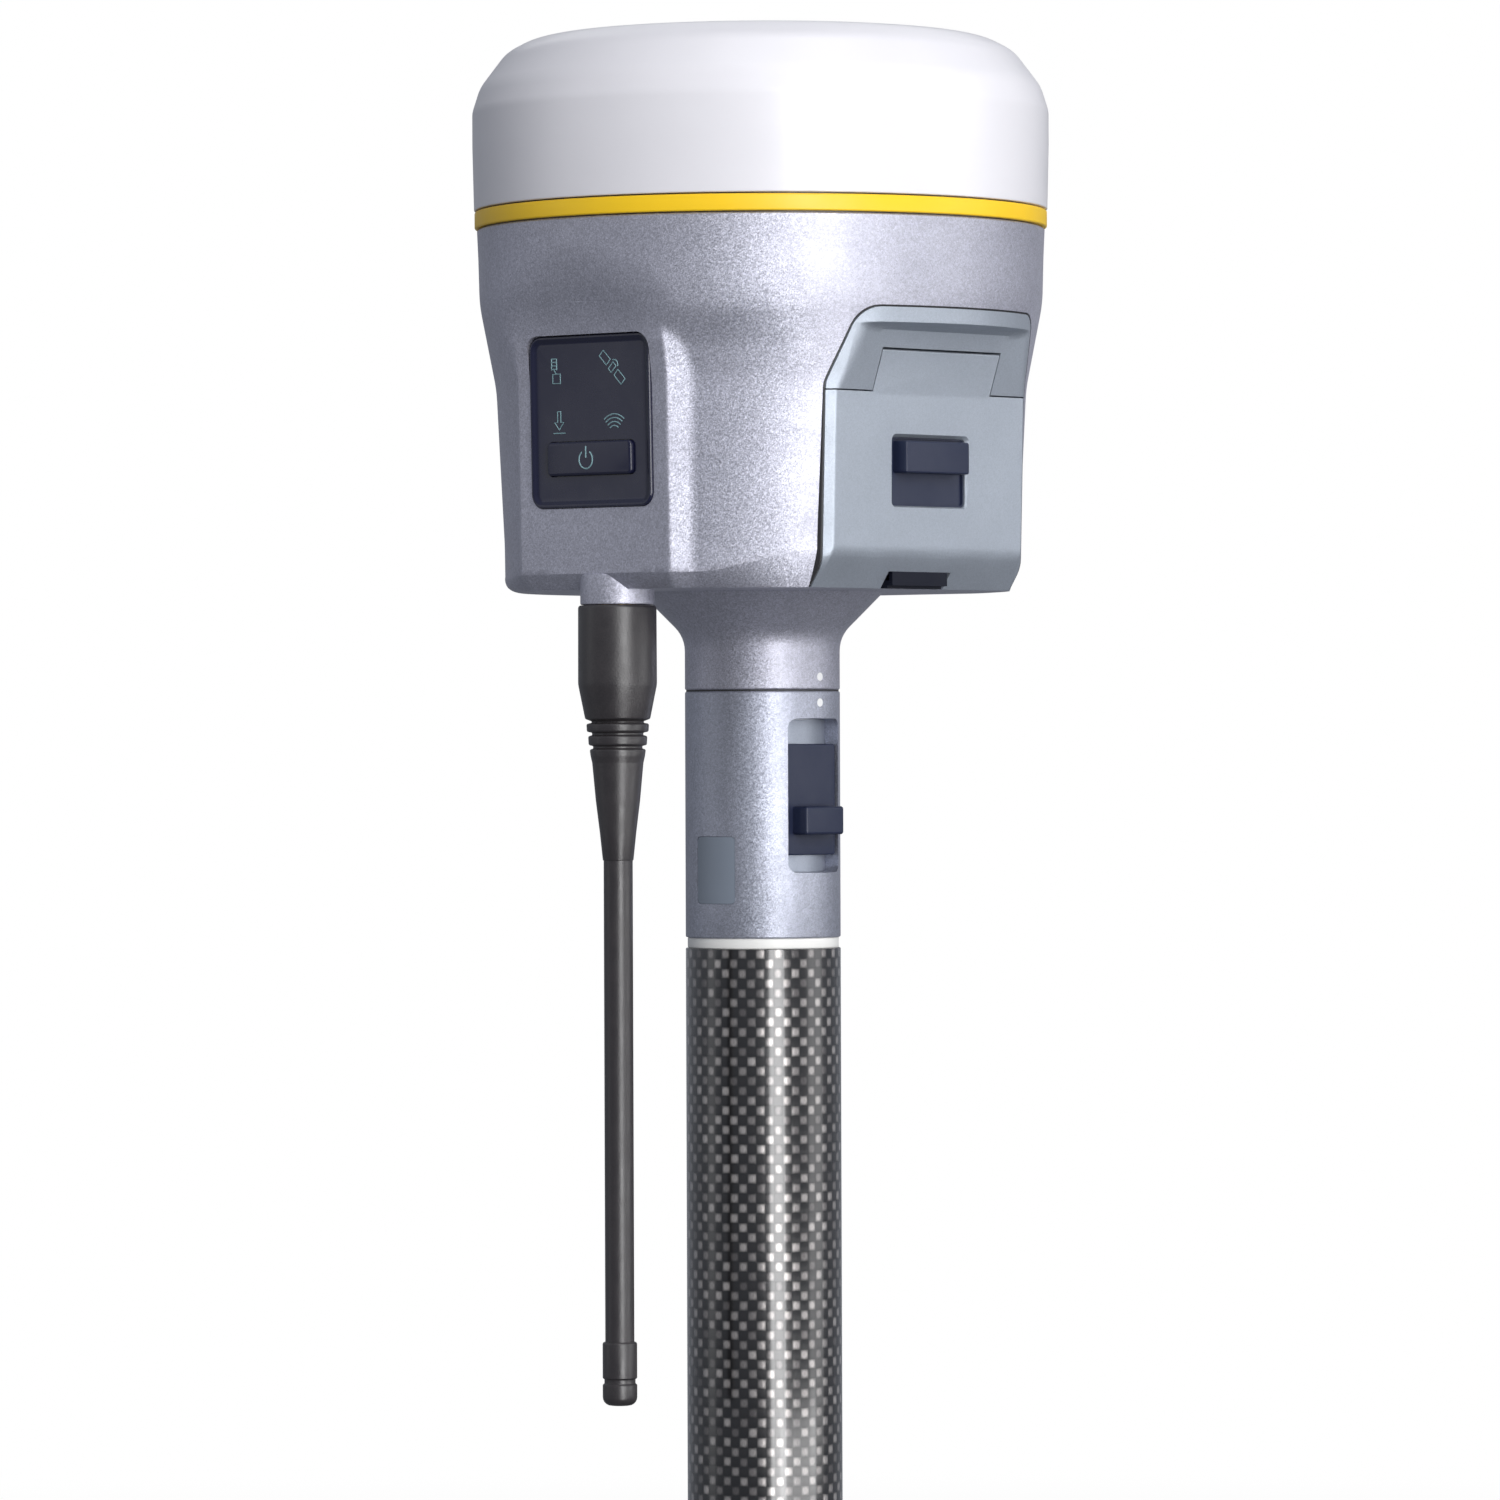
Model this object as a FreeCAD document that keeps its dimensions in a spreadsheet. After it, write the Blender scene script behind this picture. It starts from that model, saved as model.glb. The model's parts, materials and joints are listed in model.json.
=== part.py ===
import FreeCAD, Part
import Sketcher
import os
import re

# An integrated GNSS receiver on the top section of its pole.
# Millimetres. The origin is the centre of the pole section's bottom face and +Z is up.
# The keypad faces -Y, the battery door faces +X and the ports face +Y.

SIZES = {
    # pole section and adapter
    "pole_radius": 16.0, "pole_bore": 14.0, "pole_length": 250.0,
    "band_radius": 15.6, "band_height": 2.2,
    "sleeve_height": 51.0, "sleeve_bore": 12.65, "core_radius": 12.6, "spigot_radius": 10.0,
    "spigot_height": 30.0, "core_cavity": 9.0, "foot_depth": 30.0, "foot_thread": 7.94,
    "plug_depth": 35.0, "plug_spigot": 9.9, "plug_rise": 11.0,
    "slot_half": 7.65, "slot_low": 38.8, "slot_high": 6.1, "set_screw_drop": 47.0,
    "plate_half": 7.3, "plate_low": 34.0, "plate_high": 11.2, "plate_radius": 13.3,
    "thumb_half": 5.75, "thumb_low": 29.8, "thumb_high": 24.0, "thumb_front": 17.5,
    "cam_radius": 2.2, "cam_tip": 0.3, "cam_ratio": 0.4286, "cam_shoulder": 4.6, "bridge_half": 2.0,
    "bridge_low": 24.0, "bridge_high": 20.0, "lock_travel": 3.5,
    "pawl_half": 2.0, "pawl_low": 5.65, "pawl_high": 9.35, "pawl_reach": 9.8,
    "patch_left": 4.6, "patch_right": 6.4, "patch_low": 44.3, "patch_high": 30.0, "patch_depth": 0.6,
    "run_gap": 0.05, "reach": 120.0,
    # outer shape of the receiver, heights above the seam with the adapter
    "neck_radius": 16.0, "neck_height": 10.3, "cone_radius": 24.6, "floor_low": 20.2,
    "floor_radius": 50.4, "foot_radius": 53.0, "foot_top": 27.0, "waist_radius": 54.6,
    "waist_top": 62.0, "flare_radius": 58.1, "flare_top": 79.0, "rim_radius": 58.6, "rim_top": 94.9,
    "ring_low": 95.2, "ring_high": 98.6, "ring_radius": 59.1, "ring_bore": 50.6,
    "dome_low": 98.9, "dome_radius": 59.5, "dome_side_top": 118.6, "dome_foot_radius": 59.3,
    "shoulder_radius": 53.4, "shoulder_top": 130.2, "crown_radius": 46.5, "crown_edge": 134.0,
    "crown_top": 135.0, "dome_wall": 2.4,
    "wall": 3.0, "ledge_low": 78.0, "ledge_top": 80.4, "ledge_bore": 45.0,
    # keypad face
    "panel_y": 51.3, "panel_mid": 54.0, "panel_tilt": 3.0, "boss_half": 20.4, "boss_foot": 23.5,
    "boss_back": 48.5, "panel_top": 76.0, "panel_run": 87.0, "panel_wall": 48.0,
    "bezel_half": 16.5, "bezel_low": -17.3, "bezel_high": 17.6, "bezel_corner": 3.0,
    "bezel_proud": 0.6, "bezel_seat": 1.6, "bezel_rim": 1.3, "bezel_dish": 0.5,
    "button_half": 11.6, "button_low": -10.9, "button_high": -3.9, "button_gap": 0.2,
    "button_face": 1.3, "button_back": 1.0, "stem_radius": 1.5, "stem_end": 3.5, "switch_gap": 0.65,
    "board_front": 6.5, "board": 1.6,
    "lens_radius": 2.7, "lens_depth": 0.5, "post_radius": 2.0, "post_x": 11.0, "post_high": 12.0,
    "post_low": -14.5,
    # battery door side
    "recess_x": 42.6, "wall_x": 40.0, "door_back": 42.75, "door_skin": 43.7, "door_face": 46.7,
    "door_half": 30.4, "door_top": 59.6, "door_rim": 1.1, "door_bevel": 2.2, "door_chamfer": 7.4,
    "door_chamfer_depth": 3.7, "hinge_x": 47.2, "hinge_z": 66.6, "knuckle": 2.1, "tab_half": 17.9,
    "tab_back": 44.4, "pin_radius": 0.9, "pin_half": 21.0, "cover_screw_y": 24.0, "cover_screw_z": 64.0,
    "cover_half": 30.4, "cover_low": 59.9, "cover_slant": 73.5, "cover_shoulder": 27.6,
    "cover_top": 77.0, "cover_crown": 22.0, "cover_step": 73.3, "cover_lean": 51.3,
    "mouth_half": 27.0, "mouth_low": 30.4, "mouth_high": 57.7,
    "window_half": 11.3, "window_low": 36.8, "window_high": 50.7,
    "bar_low": 43.4, "bar_high": 50.0, "bar_front": 48.2, "bolt_half": 7.5, "bolt_tip": 28.3,
    "bolt_top": 49.0, "keeper_half": 8.4, "notch_half": 9.5, "notch_high": 23.6,
    "bay_back": 20.5, "pack_half": 25.8, "pack_low": 31.4, "pack_high": 56.9,
    # back face with the ports
    "back_y": 49.6, "back_wall": 46.6, "port_x": 9.0, "port_z": 40.0, "port_flange": 6.8,
    "port_body": 5.0, "port_bore": 3.6, "flap_half": 18.0, "flap_low": 28.0, "flap_high": 51.0,
    "flap_hinge_z": 52.6, "flap_skin": 50.9, "flap_face": 52.6,
    "vent_x": -30.0, "vent_y": 20.0, "vent_radius": 4.0,
    # antenna
    "whip_y": 43.5, "stub_radius": 7.5, "stub_low": 17.1, "port_barrel": 6.4, "stud_radius": 3.95,
    "stud_bore": 4.0, "stud_top": 27.0, "sleeve_radius": 8.0, "sleeve_foot": 6.56,
    "rib_first": 6.3, "rib_second": 5.95, "rib_third": 5.6, "rib_root": 5.2,
    "taper_radius": 3.6, "whip_radius": 2.95, "taper_low": 34.7, "cap_high": 132.3,
    "cap_low": 145.1, "cap_radius": 3.5,
    "oring_radius": 5.6, "oring_section": 0.7,
    # inside
    "socket_radius": 13.2, "socket_top": 36.0, "flange_radius": 18.4, "groove_radius": 12.0,
    "plate_disc": 49.5, "main_disc": 40.0, "main_low": 86.0, "antenna_disc": 50.0,
    "antenna_low": 99.5, "screw_radius": 1.5, "screw_hole": 1.55, "screw_head": 2.8,
    "screw_head_height": 2.0, "radio_low": 71.0, "ledge_circle": 47.2,
    "post_circle": 45.5, "board_circle": 34.0,
}

SEAM = "(pole_length + band_height + sleeve_height)"

doc = FreeCAD.newDocument("gnss_receiver")
sheet = doc.addObject("Spreadsheet::Sheet", "sizes")
for row, (alias, size) in enumerate(SIZES.items(), start=1):
    sheet.set(f"A{row}", alias)
    sheet.set(f"B{row}", str(size))
    sheet.setAlias(f"B{row}", alias)
doc.recompute()

subparts = []


def bound(text):
    """The expression with each size's name pointing at its cell."""
    return re.sub(r"[a-z][a-z_]*", lambda word: "sizes." + word.group(0), str(text))


def number(text):
    """The present value of an expression."""
    return float(sheet.evalExpression(bound(text)))


def above(text):
    """A height above the seam, as a height above the pole's bottom face."""
    return f"{SEAM} + ({text})"


def below(text):
    """A depth below the seam, as a height above the pole's bottom face."""
    return f"{SEAM} - ({text})"


def place(shape, x="0", y="0", z="0", rotation=None):
    """Bind the position of an object to expressions."""
    if rotation:
        shape.Placement.Rotation = rotation
    for axis, text in (("x", x), ("y", y), ("z", z)):
        shape.setExpression("Placement.Base." + axis, bound(text))
    return shape


def subpart(label, shape):
    """Name the finished piece after its node."""
    shape.Label = label
    subparts.append(shape)
    return shape


def rod(name, radius, low, high, x="0", y="0"):
    """An upright cylinder between two heights."""
    shape = doc.addObject("Part::Cylinder", name)
    shape.setExpression("Radius", bound(radius))
    shape.setExpression("Height", bound(f"({high}) - ({low})"))
    return place(shape, x, y, low)


def taper(name, low_radius, high_radius, low, high, x="0", y="0"):
    """An upright cone between two heights."""
    shape = doc.addObject("Part::Cone", name)
    shape.setExpression("Radius1", bound(low_radius))
    shape.setExpression("Radius2", bound(high_radius))
    shape.setExpression("Height", bound(f"({high}) - ({low})"))
    return place(shape, x, y, low)


def rod_along_x(name, radius, low, high, y, z):
    """A cylinder along X."""
    shape = doc.addObject("Part::Cylinder", name)
    shape.setExpression("Radius", bound(radius))
    shape.setExpression("Height", bound(f"({high}) - ({low})"))
    turn = FreeCAD.Rotation(FreeCAD.Vector(0, 1, 0), 90)
    return place(shape, low, y, z, turn)


def rod_along_y(name, radius, low, high, x, z):
    """A cylinder along Y."""
    shape = doc.addObject("Part::Cylinder", name)
    shape.setExpression("Radius", bound(radius))
    shape.setExpression("Height", bound(f"({high}) - ({low})"))
    turn = FreeCAD.Rotation(FreeCAD.Vector(1, 0, 0), -90)
    return place(shape, x, low, z, turn)


def block(name, x, y, z):
    """A box; x, y and z are each a pair of limits."""
    shape = doc.addObject("Part::Box", name)
    for side, (low, high) in zip(("Length", "Width", "Height"), (x, y, z)):
        shape.setExpression(side, bound(f"({high}) - ({low})"))
    return place(shape, x[0], y[0], z[0])


def both(text):
    """Limits at equal distances on each side of the middle."""
    return f"-({text})", text


def fuse(name, *shapes):
    """One solid from several."""
    result = doc.addObject("Part::MultiFuse", name)
    result.Shapes = list(shapes)
    result.Refine = True
    return result


def cut(name, base, *tools):
    """The base without the tools."""
    result = doc.addObject("Part::Cut", name)
    result.Base = base
    result.Tool = tools[0] if len(tools) == 1 else fuse(name + "_tools", *tools)
    return result


def common(name, *shapes):
    """The space shared by the shapes."""
    result = doc.addObject("Part::MultiCommon", name)
    result.Shapes = list(shapes)
    return result


def group(name, shapes):
    """Separate solids kept as one piece."""
    result = doc.addObject("Part::Compound", name)
    result.Links = list(shapes)
    return result


def tube(name, outer, inner, low, high, x="0", y="0"):
    """An upright tube."""
    solid = rod(name + "_solid", outer, low, high, x, y)
    hollow = rod(name + "_hollow", inner, low, high, x, y)
    return cut(name, solid, hollow)


def outline(body, name, plane, points):
    """A closed sketch whose corners are bound to expressions."""
    sketch = body.newObject("Sketcher::SketchObject", name)
    origin = next(item for item in body.Origin.OriginFeatures if item.Role == plane)
    sketch.AttachmentSupport = [(origin, "")]
    sketch.MapMode = "FlatFace"
    corners = [(number(across), number(up)) for across, up in points]
    count = len(corners)
    for index in range(count):
        start = FreeCAD.Vector(*corners[index], 0)
        end = FreeCAD.Vector(*corners[(index + 1) % count], 0)
        sketch.addGeometry(Part.LineSegment(start, end))
    for index in range(count):
        sketch.addConstraint(Sketcher.Constraint("Coincident", index, 2, (index + 1) % count, 1))
    for index, point in enumerate(points):
        for kind, text, value in zip(("DistanceX", "DistanceY"), point, corners[index]):
            place_in_list = sketch.addConstraint(Sketcher.Constraint(kind, -1, 1, index, 1, value))
            sketch.setExpression(f"Constraints[{place_in_list}]", bound(text))
    return sketch


def turned(name, points):
    """A solid turned about the pole's axis from (radius, height) corners."""
    body = doc.addObject("PartDesign::Body", name)
    sketch = outline(body, name + "_outline", "XZ_Plane", points)
    feature = body.newObject("PartDesign::Revolution", name + "_turn")
    feature.Profile = sketch
    feature.ReferenceAxis = (sketch, ["V_Axis"])
    feature.Angle = 360
    return body


def prism(name, plane, points, length, offset="0", taper_angle="0", symmetric=False):
    """A solid pushed out from an outline on an origin plane."""
    body = doc.addObject("PartDesign::Body", name)
    sketch = outline(body, name + "_outline", plane, points)
    sketch.setExpression("AttachmentOffset.Base.z", bound(offset))
    feature = body.newObject("PartDesign::Pad", name + "_pad")
    feature.Profile = sketch
    feature.setExpression("Length", bound(length))
    feature.setExpression("TaperAngle", bound(taper_angle))
    if symmetric:
        feature.SideType = "Symmetric"
    return body


def rounded_plate(name, half, low, high, corner, front, back):
    """A plate facing -Y with round corners, between two depths."""
    plate = block(name + "_plate", both(half), (front, back), (low, high))
    doc.recompute()
    rounded = doc.addObject("Part::Fillet", name)
    rounded.Base = plate
    upright = [index for index, edge in enumerate(plate.Shape.Edges, start=1)
               if abs(edge.tangentAt(edge.FirstParameter).y) > 0.9]
    rounded.Edges = [(index, number(corner), number(corner)) for index in upright]
    return rounded


def on_panel(shape):
    """Move a piece drawn about the panel's middle onto the leaning panel face."""
    shape.Placement.Rotation = FreeCAD.Rotation(FreeCAD.Vector(1, 0, 0), SIZES["panel_tilt"])
    shape.setExpression("Placement.Base.y", bound("-panel_y"))
    shape.setExpression("Placement.Base.z", bound(above("panel_mid")))
    shape.setExpression("Placement.Rotation.Angle", bound("panel_tilt"))
    return shape


def screws(name, spots, head_low, length):
    """Cap screws standing on their shanks; the heads start at head_low."""
    solids = []
    for index, (x, y) in enumerate(spots):
        head = rod(f"{name}_head_{index}", "screw_head", head_low, f"{head_low} + screw_head_height", x, y)
        shank = rod(f"{name}_shank_{index}", "screw_radius", f"{head_low} - {length}", head_low, x, y)
        solids.append(fuse(f"{name}_{index}", head, shank))
    return solids


def four_on(circle, diagonal):
    """Four spots on a circle, on the axes or on the diagonals."""
    if diagonal:
        step = f"{circle} * 0.70711"
        return [(a + step, b + step) for a in ("", "-") for b in ("", "-")]
    return [(circle, "0"), ("-" + circle, "0"), ("0", circle), ("0", "-" + circle)]


# ---- pole section and adapter

def pole_tube():
    subpart("pole_tube", tube("pole", "pole_radius", "pole_bore", "0", "pole_length"))


def pole_foot_insert():
    body = rod("foot_body", "pole_bore - run_gap", "0", "foot_depth")
    socket = rod("foot_socket", "foot_thread", "-1", "foot_depth - 4")
    subpart("pole_foot_insert", cut("foot", body, socket))


def pole_top_plug():
    plug = rod("plug_body", "pole_bore - run_gap", "pole_length - plug_depth", "pole_length")
    spigot = rod("plug_spigot_rod", "plug_spigot", "pole_length", "pole_length + band_height + plug_rise")
    subpart("pole_top_plug", fuse("plug", plug, spigot))


def end_band():
    band = tube("band", "band_radius", "plug_spigot + run_gap", "pole_length",
                "pole_length + band_height")
    subpart("end_band", band)


def adapter_core():
    low = below("sleeve_height")
    outside = turned("core_outside", [
        ("0", low), ("core_radius", low), ("core_radius", below("run_gap * 6")),
        ("spigot_radius - run_gap", below("run_gap * 6")),
        ("spigot_radius - run_gap", above("spigot_height - 3")),
        ("spigot_radius - 2.5", above("spigot_height")), ("0", above("spigot_height"))])
    socket = rod("core_socket", "plug_spigot + run_gap", low, below("sleeve_height - plug_rise - 0.5"))
    cavity = rod("core_hollow", "core_cavity", below("sleeve_height - plug_rise"), below("8"))
    channel = rod("core_channel", "cam_radius + run_gap", below("9"), above("13.5"))
    pocket = block("core_pocket", ("0", "spigot_radius + 1"), both("pawl_half + run_gap"),
                   (above("pawl_low - run_gap"), above("pawl_high + run_gap")))
    window = block("core_window", ("5", "core_radius + 1"), both("bridge_half + run_gap"),
                   (below("bridge_low + 1"), below("bridge_high - lock_travel - 1")))
    subpart("adapter_core", cut("core", outside, socket, cavity, channel, pocket, window))


def adapter_sleeve():
    wall = tube("sleeve_wall", "pole_radius", "sleeve_bore", below("sleeve_height"), below("run_gap"))
    slot = block("sleeve_slot", ("0", "pole_radius + 1"), both("slot_half"),
                 (below("slot_low"), below("slot_high")))
    ring = tube("patch_ring", "pole_radius + 1", "pole_radius - patch_depth", below("patch_low"),
                below("patch_high"))
    patch = common("sleeve_patch", patch_area("patch_room", "0"), ring)
    back = rod_along_y("sleeve_hole_back", "screw_hole", "12", "pole_radius + 1", "0",
                       below("set_screw_drop"))
    side = rod_along_x("sleeve_hole_side", "screw_hole", "-pole_radius - 1", "-12", "0",
                       below("set_screw_drop"))
    subpart("adapter_sleeve", cut("sleeve", wall, slot, patch, back, side))


def patch_area(name, inset):
    """The upright block that bounds the blank plate on the sleeve."""
    return block(name, (f"-patch_left + {inset}", f"patch_right - {inset}"), ("-pole_radius - 1", "-10"),
                 (below(f"patch_low - {inset}"), below(f"patch_high + {inset}")))


def blank_plate():
    skin = tube("plate_skin", "pole_radius - 0.1", "pole_radius - patch_depth + run_gap",
                below("patch_low + 1"), below("patch_high - 1"))
    subpart("blank_plate", common("blank", skin, patch_area("plate_area", "run_gap")))


def sleeve_screws():
    back = rod_along_y("set_screw_back", "screw_radius", "core_radius + 0.02", "pole_radius - 0.6", "0",
                       below("set_screw_drop"))
    side = rod_along_x("set_screw_side", "screw_radius", "-pole_radius + 0.6", "-core_radius - 0.02", "0",
                       below("set_screw_drop"))
    subpart("sleeve_screws", group("set_screws", [back, side]))


def lock_plate():
    wall = tube("lock_wall", "plate_radius", "sleeve_bore + run_gap * 2", below("plate_low"),
                below("plate_high"))
    area = block("lock_area", ("5", "pole_radius"), both("plate_half"),
                 (below("plate_low"), below("plate_high")))
    thumb = block("lock_thumb", ("sleeve_bore + 0.2", "thumb_front"), both("thumb_half"),
                  (below("thumb_low"), below("thumb_high")))
    subpart("lock_plate", fuse("lock", common("lock_skin", wall, area), thumb))


def cam_rod():
    tip_drop = "(cam_radius - cam_tip) / cam_ratio"
    shaft = rod("cam_shaft", "cam_radius", below("bridge_low"), above("cam_shoulder"))
    tip = taper("cam_cone", "cam_radius", "cam_tip", above("cam_shoulder"),
                above(f"cam_shoulder + {tip_drop}"))
    bridge = block("cam_bridge", ("0", "sleeve_bore - run_gap * 2"), both("bridge_half"),
                   (below("bridge_low"), below("bridge_high")))
    subpart("cam_rod", fuse("cam", shaft, tip, bridge))


def latch_pawl():
    foot = "cam_radius - (pawl_low - cam_shoulder) * cam_ratio + run_gap"
    head = "cam_radius - (pawl_high - cam_shoulder) * cam_ratio + run_gap"
    points = [(foot, above("pawl_low")), ("pawl_reach", above("pawl_low")),
              ("pawl_reach", above("pawl_high")), (head, above("pawl_high"))]
    subpart("latch_pawl", prism("pawl", "XZ_Plane", points, "pawl_half * 2", symmetric=True))


# ---- receiver shell

def housing_outside():
    outside = turned("housing_round", [
        ("0", above("floor_low")), ("floor_radius", above("floor_low")),
        ("foot_radius", above("foot_top")), ("waist_radius", above("waist_top")),
        ("flare_radius", above("flare_top")), ("rim_radius", above("rim_top")), ("0", above("rim_top"))])
    lean = "panel_tilt * 0.01745"
    in_front = "-rim_radius - 12"
    front = prism("panel_space", "YZ_Plane", [
        (in_front, above("0")), (f"-panel_y + panel_mid * {lean}", above("0")),
        (f"-panel_y - (panel_top - panel_mid) * {lean}", above("panel_top")),
        ("-rim_radius - 0.5", above("panel_run")), (in_front, above("panel_run"))], "reach", symmetric=True)
    back = block("back_space", both("reach"), ("back_y", "reach"), (above("0"), above("flap_hinge_z + 4")))
    boss = prism("panel_boss", "XY_Plane", [
        ("-boss_half", "-50.1"), ("boss_half", "-50.1"), ("boss_foot", "-boss_back + 1"),
        ("boss_foot", "-40"), ("-boss_foot", "-40"), ("-boss_foot", "-boss_back + 1")],
        "54", above("floor_low + 1"), "panel_tilt")
    stub = rod("whip_stub", "stub_radius", above("stub_low"), above("floor_low + 4"), y="-whip_y")
    return fuse("housing_skin", cut("housing_faced", outside, front, back), boss, stub)


def housing_inside():
    lower = turned("inside_lower", [
        ("0", above("floor_low + wall")), ("floor_radius - wall", above("floor_low + wall")),
        ("foot_radius - wall", above("foot_top")), ("waist_radius - wall", above("waist_top")),
        ("flare_radius - wall", above("ledge_low")),
        ("0", above("ledge_low"))])
    limits = block("inside_limits", ("-60", "wall_x"), ("-panel_wall", "back_wall"),
                   (above("floor_low"), above("ledge_low")))
    ledge = rod("inside_ledge", "ledge_bore", above("ledge_low - 1"), above("ledge_top + 1"))
    upper = turned("inside_upper", [
        ("0", above("ledge_top")), ("flare_radius - wall", above("ledge_top")),
        ("rim_radius - wall", above("rim_top + 1")), ("0", above("rim_top + 1"))])
    return fuse("housing_inside", common("inside_room", lower, limits), ledge, upper)


def cover_outline(name, grow, low):
    """The prism inside the seam round the hinge cover and the door, from the recess outwards."""
    side, top = f"cover_half + {grow}", f"cover_top + {grow}"
    points = [(f"-({side})", above(low)), (side, above(low)), (side, above("cover_low + 2")),
              (f"cover_shoulder + {grow}", above("cover_slant")), ("cover_crown", above(top)),
              ("-cover_crown", above(top)), (f"-(cover_shoulder + {grow})", above("cover_slant")),
              (f"-({side})", above("cover_low + 2"))]
    return prism(name, "YZ_Plane", points, "30", "recess_x")


def lower_housing():
    skin, inside = housing_outside(), housing_inside()
    recess = cover_outline("door_recess", "0.25", "floor_low - 2")
    bore = rod("neck_bore", "socket_radius + run_gap", above("-1"), above("floor_low + wall + 1"))
    mouth = block("bay_mouth", ("wall_x - 2", "recess_x + 1"), both("mouth_half"),
                  (above("mouth_low"), above("mouth_high")))
    keeper = block("keeper_pocket", ("39.2", "recess_x + 4"), both("keeper_half + 0.2"),
                   (above("floor_low - 1"), above("mouth_low + 0.5")))
    stub_bore = rod("stub_bore", "port_barrel + run_gap", above("stub_low - 1"),
                    above("floor_low + wall + 2"), y="-whip_y")
    ports = [rod_along_y(f"port_hole_{side}", "port_body + 0.1", "back_wall - 1", "back_y + 1",
                         f"{side}port_x", above("port_z")) for side in ("", "-")]
    ears = block("flap_ears", both("flap_half + 0.3"), ("back_y - 2.4", "back_y + 9"),
                 (above("flap_hinge_z - 1.8"), above("flap_hinge_z + 1.9")))
    flap_pin = rod_along_x("flap_pin_hole", "pin_radius + 0.02", "-flap_half - 1.4", "flap_half + 1.4",
                           "back_y", above("flap_hinge_z"))
    vent = rod("vent_hole", "vent_radius + run_gap", above("floor_low - 1"), above("floor_low + wall + 1"),
               "vent_x", "vent_y")
    pilots = [rod(f"ledge_hole_{index}", "screw_hole", above("ledge_low - 1"), above("ledge_top + 1"),
                  x, y) for index, (x, y) in enumerate(four_on("ledge_circle", False))]
    neck_pilots = [rod(f"neck_hole_{index}", "screw_hole", above("floor_low + 0.4"),
                       above("floor_low + wall + 1"), x, y)
                   for index, (x, y) in enumerate(four_on("(socket_radius + 2.5)", False))]
    cover_holes = [rod_along_x(f"cover_hole_{side}", "screw_hole", "wall_x - 1", "recess_x + 1",
                               f"{side}cover_screw_y", above("cover_screw_z")) for side in ("", "-")]
    seat = on_panel(rounded_plate("bezel_seat_cut", "bezel_half + 0.1", "bezel_low - 0.1",
                                  "bezel_high + 0.1", "bezel_corner", "-4", "bezel_seat + 0.4"))
    stem = rod_along_y("stem_hole", "stem_radius + 0.6", "0", "board_front", "0",
                       "(button_low + button_high) / 2")
    spots = [(f"{side}post_x", height) for side in ("", "-") for height in ("post_high", "post_low")]
    posts = [rod_along_y(f"keypad_post_{index}", "post_radius", "bezel_seat + 1", "board_front", x, z)
             for index, (x, z) in enumerate(spots)]
    hollowed = cut("housing_hollow", skin, inside)
    shell = fuse("housing_shell", hollowed, on_panel(group("keypad_posts", posts)))
    subpart("lower_housing", cut("housing", shell, recess, bore, mouth, keeper, stub_bore, *ports, ears,
                                 flap_pin, vent, *pilots, *neck_pilots, *cover_holes, seat,
                                 on_panel(group("stem_space", [stem]))))


def neck_collar():
    body = turned("collar_body", [
        ("0", above("0")), ("neck_radius", above("0")), ("neck_radius", above("neck_height")),
        ("cone_radius", above("floor_low")), ("0", above("floor_low"))])
    bore = rod("collar_bore", "socket_radius + run_gap", above("-1"), above("floor_low + 1"))
    subpart("neck_collar", cut("collar", body, bore))


def seam_gaskets():
    rings = [tube(f"gasket_{index}", "ring_radius - 1.2", "ring_radius - 4", above(low), above(high))
             for index, (low, high) in enumerate((("rim_top", "ring_low"), ("ring_high", "dome_low")))]
    subpart("seam_gaskets", group("gaskets", rings))


def accent_ring():
    subpart("accent_ring", tube("ring", "ring_radius", "ring_bore", above("ring_low"), above("ring_high")))


def radome():
    outer = [("dome_foot_radius", above("dome_low")), ("dome_radius", above("dome_low + 14.7")),
             ("dome_radius", above("dome_side_top")), ("dome_radius - 1.3", above("dome_side_top + 5")),
             ("shoulder_radius", above("shoulder_top")),
             ("shoulder_radius - 3.4", above("shoulder_top + 3.2")),
             ("crown_radius", above("crown_edge")), ("crown_radius * 0.6", above("crown_top - 0.35")),
             ("0", above("crown_top"))]
    inner = [(f"{r} - dome_wall", z) for r, z in outer[:6]]
    inner += [("crown_radius - 1", above("crown_edge - dome_wall")), ("0", above("crown_top - dome_wall"))]
    subpart("radome", turned("dome", outer + inner[::-1]))


def neck_socket():
    body = turned("socket_outside", [
        ("0", above("0")), ("socket_radius", above("0")), ("socket_radius", above("floor_low + wall + 0.05")),
        ("flange_radius", above("floor_low + wall + 0.05")),
        ("flange_radius", above("floor_low + wall + 2.5")),
        ("socket_radius", above("floor_low + wall + 2.5")), ("socket_radius", above("socket_top")),
        ("0", above("socket_top"))])
    bore = rod("socket_bore", "spigot_radius", above("-1"), above("socket_top - 3"))
    groove = rod("socket_groove", "groove_radius", above("pawl_low - 0.25"), above("pawl_high + 0.25"))
    holes = [rod(f"socket_hole_{index}", "screw_hole", above("floor_low"), above("floor_low + 8"), x, y)
             for index, (x, y) in enumerate(four_on("(socket_radius + 2.5)", False))]
    subpart("neck_socket", cut("socket", body, bore, groove, *holes))


def neck_screws():
    solids = screws("neck_screw", four_on("(socket_radius + 2.5)", False),
                    above("floor_low + wall + 2.52"), "5")
    trimmed = [cut(f"neck_screw_flat_{index}", solid,
                   rod(f"neck_screw_side_{index}", "socket_radius + run_gap", above("0"),
                       above("socket_top"))) for index, solid in enumerate(solids)]
    subpart("neck_screws", group("neck_screw_set", trimmed))


def pressure_vent():
    subpart("pressure_vent", rod("vent", "vent_radius", above("floor_low - 0.4"), above("floor_low + wall"),
                                 "vent_x", "vent_y"))


# ---- battery side

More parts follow.
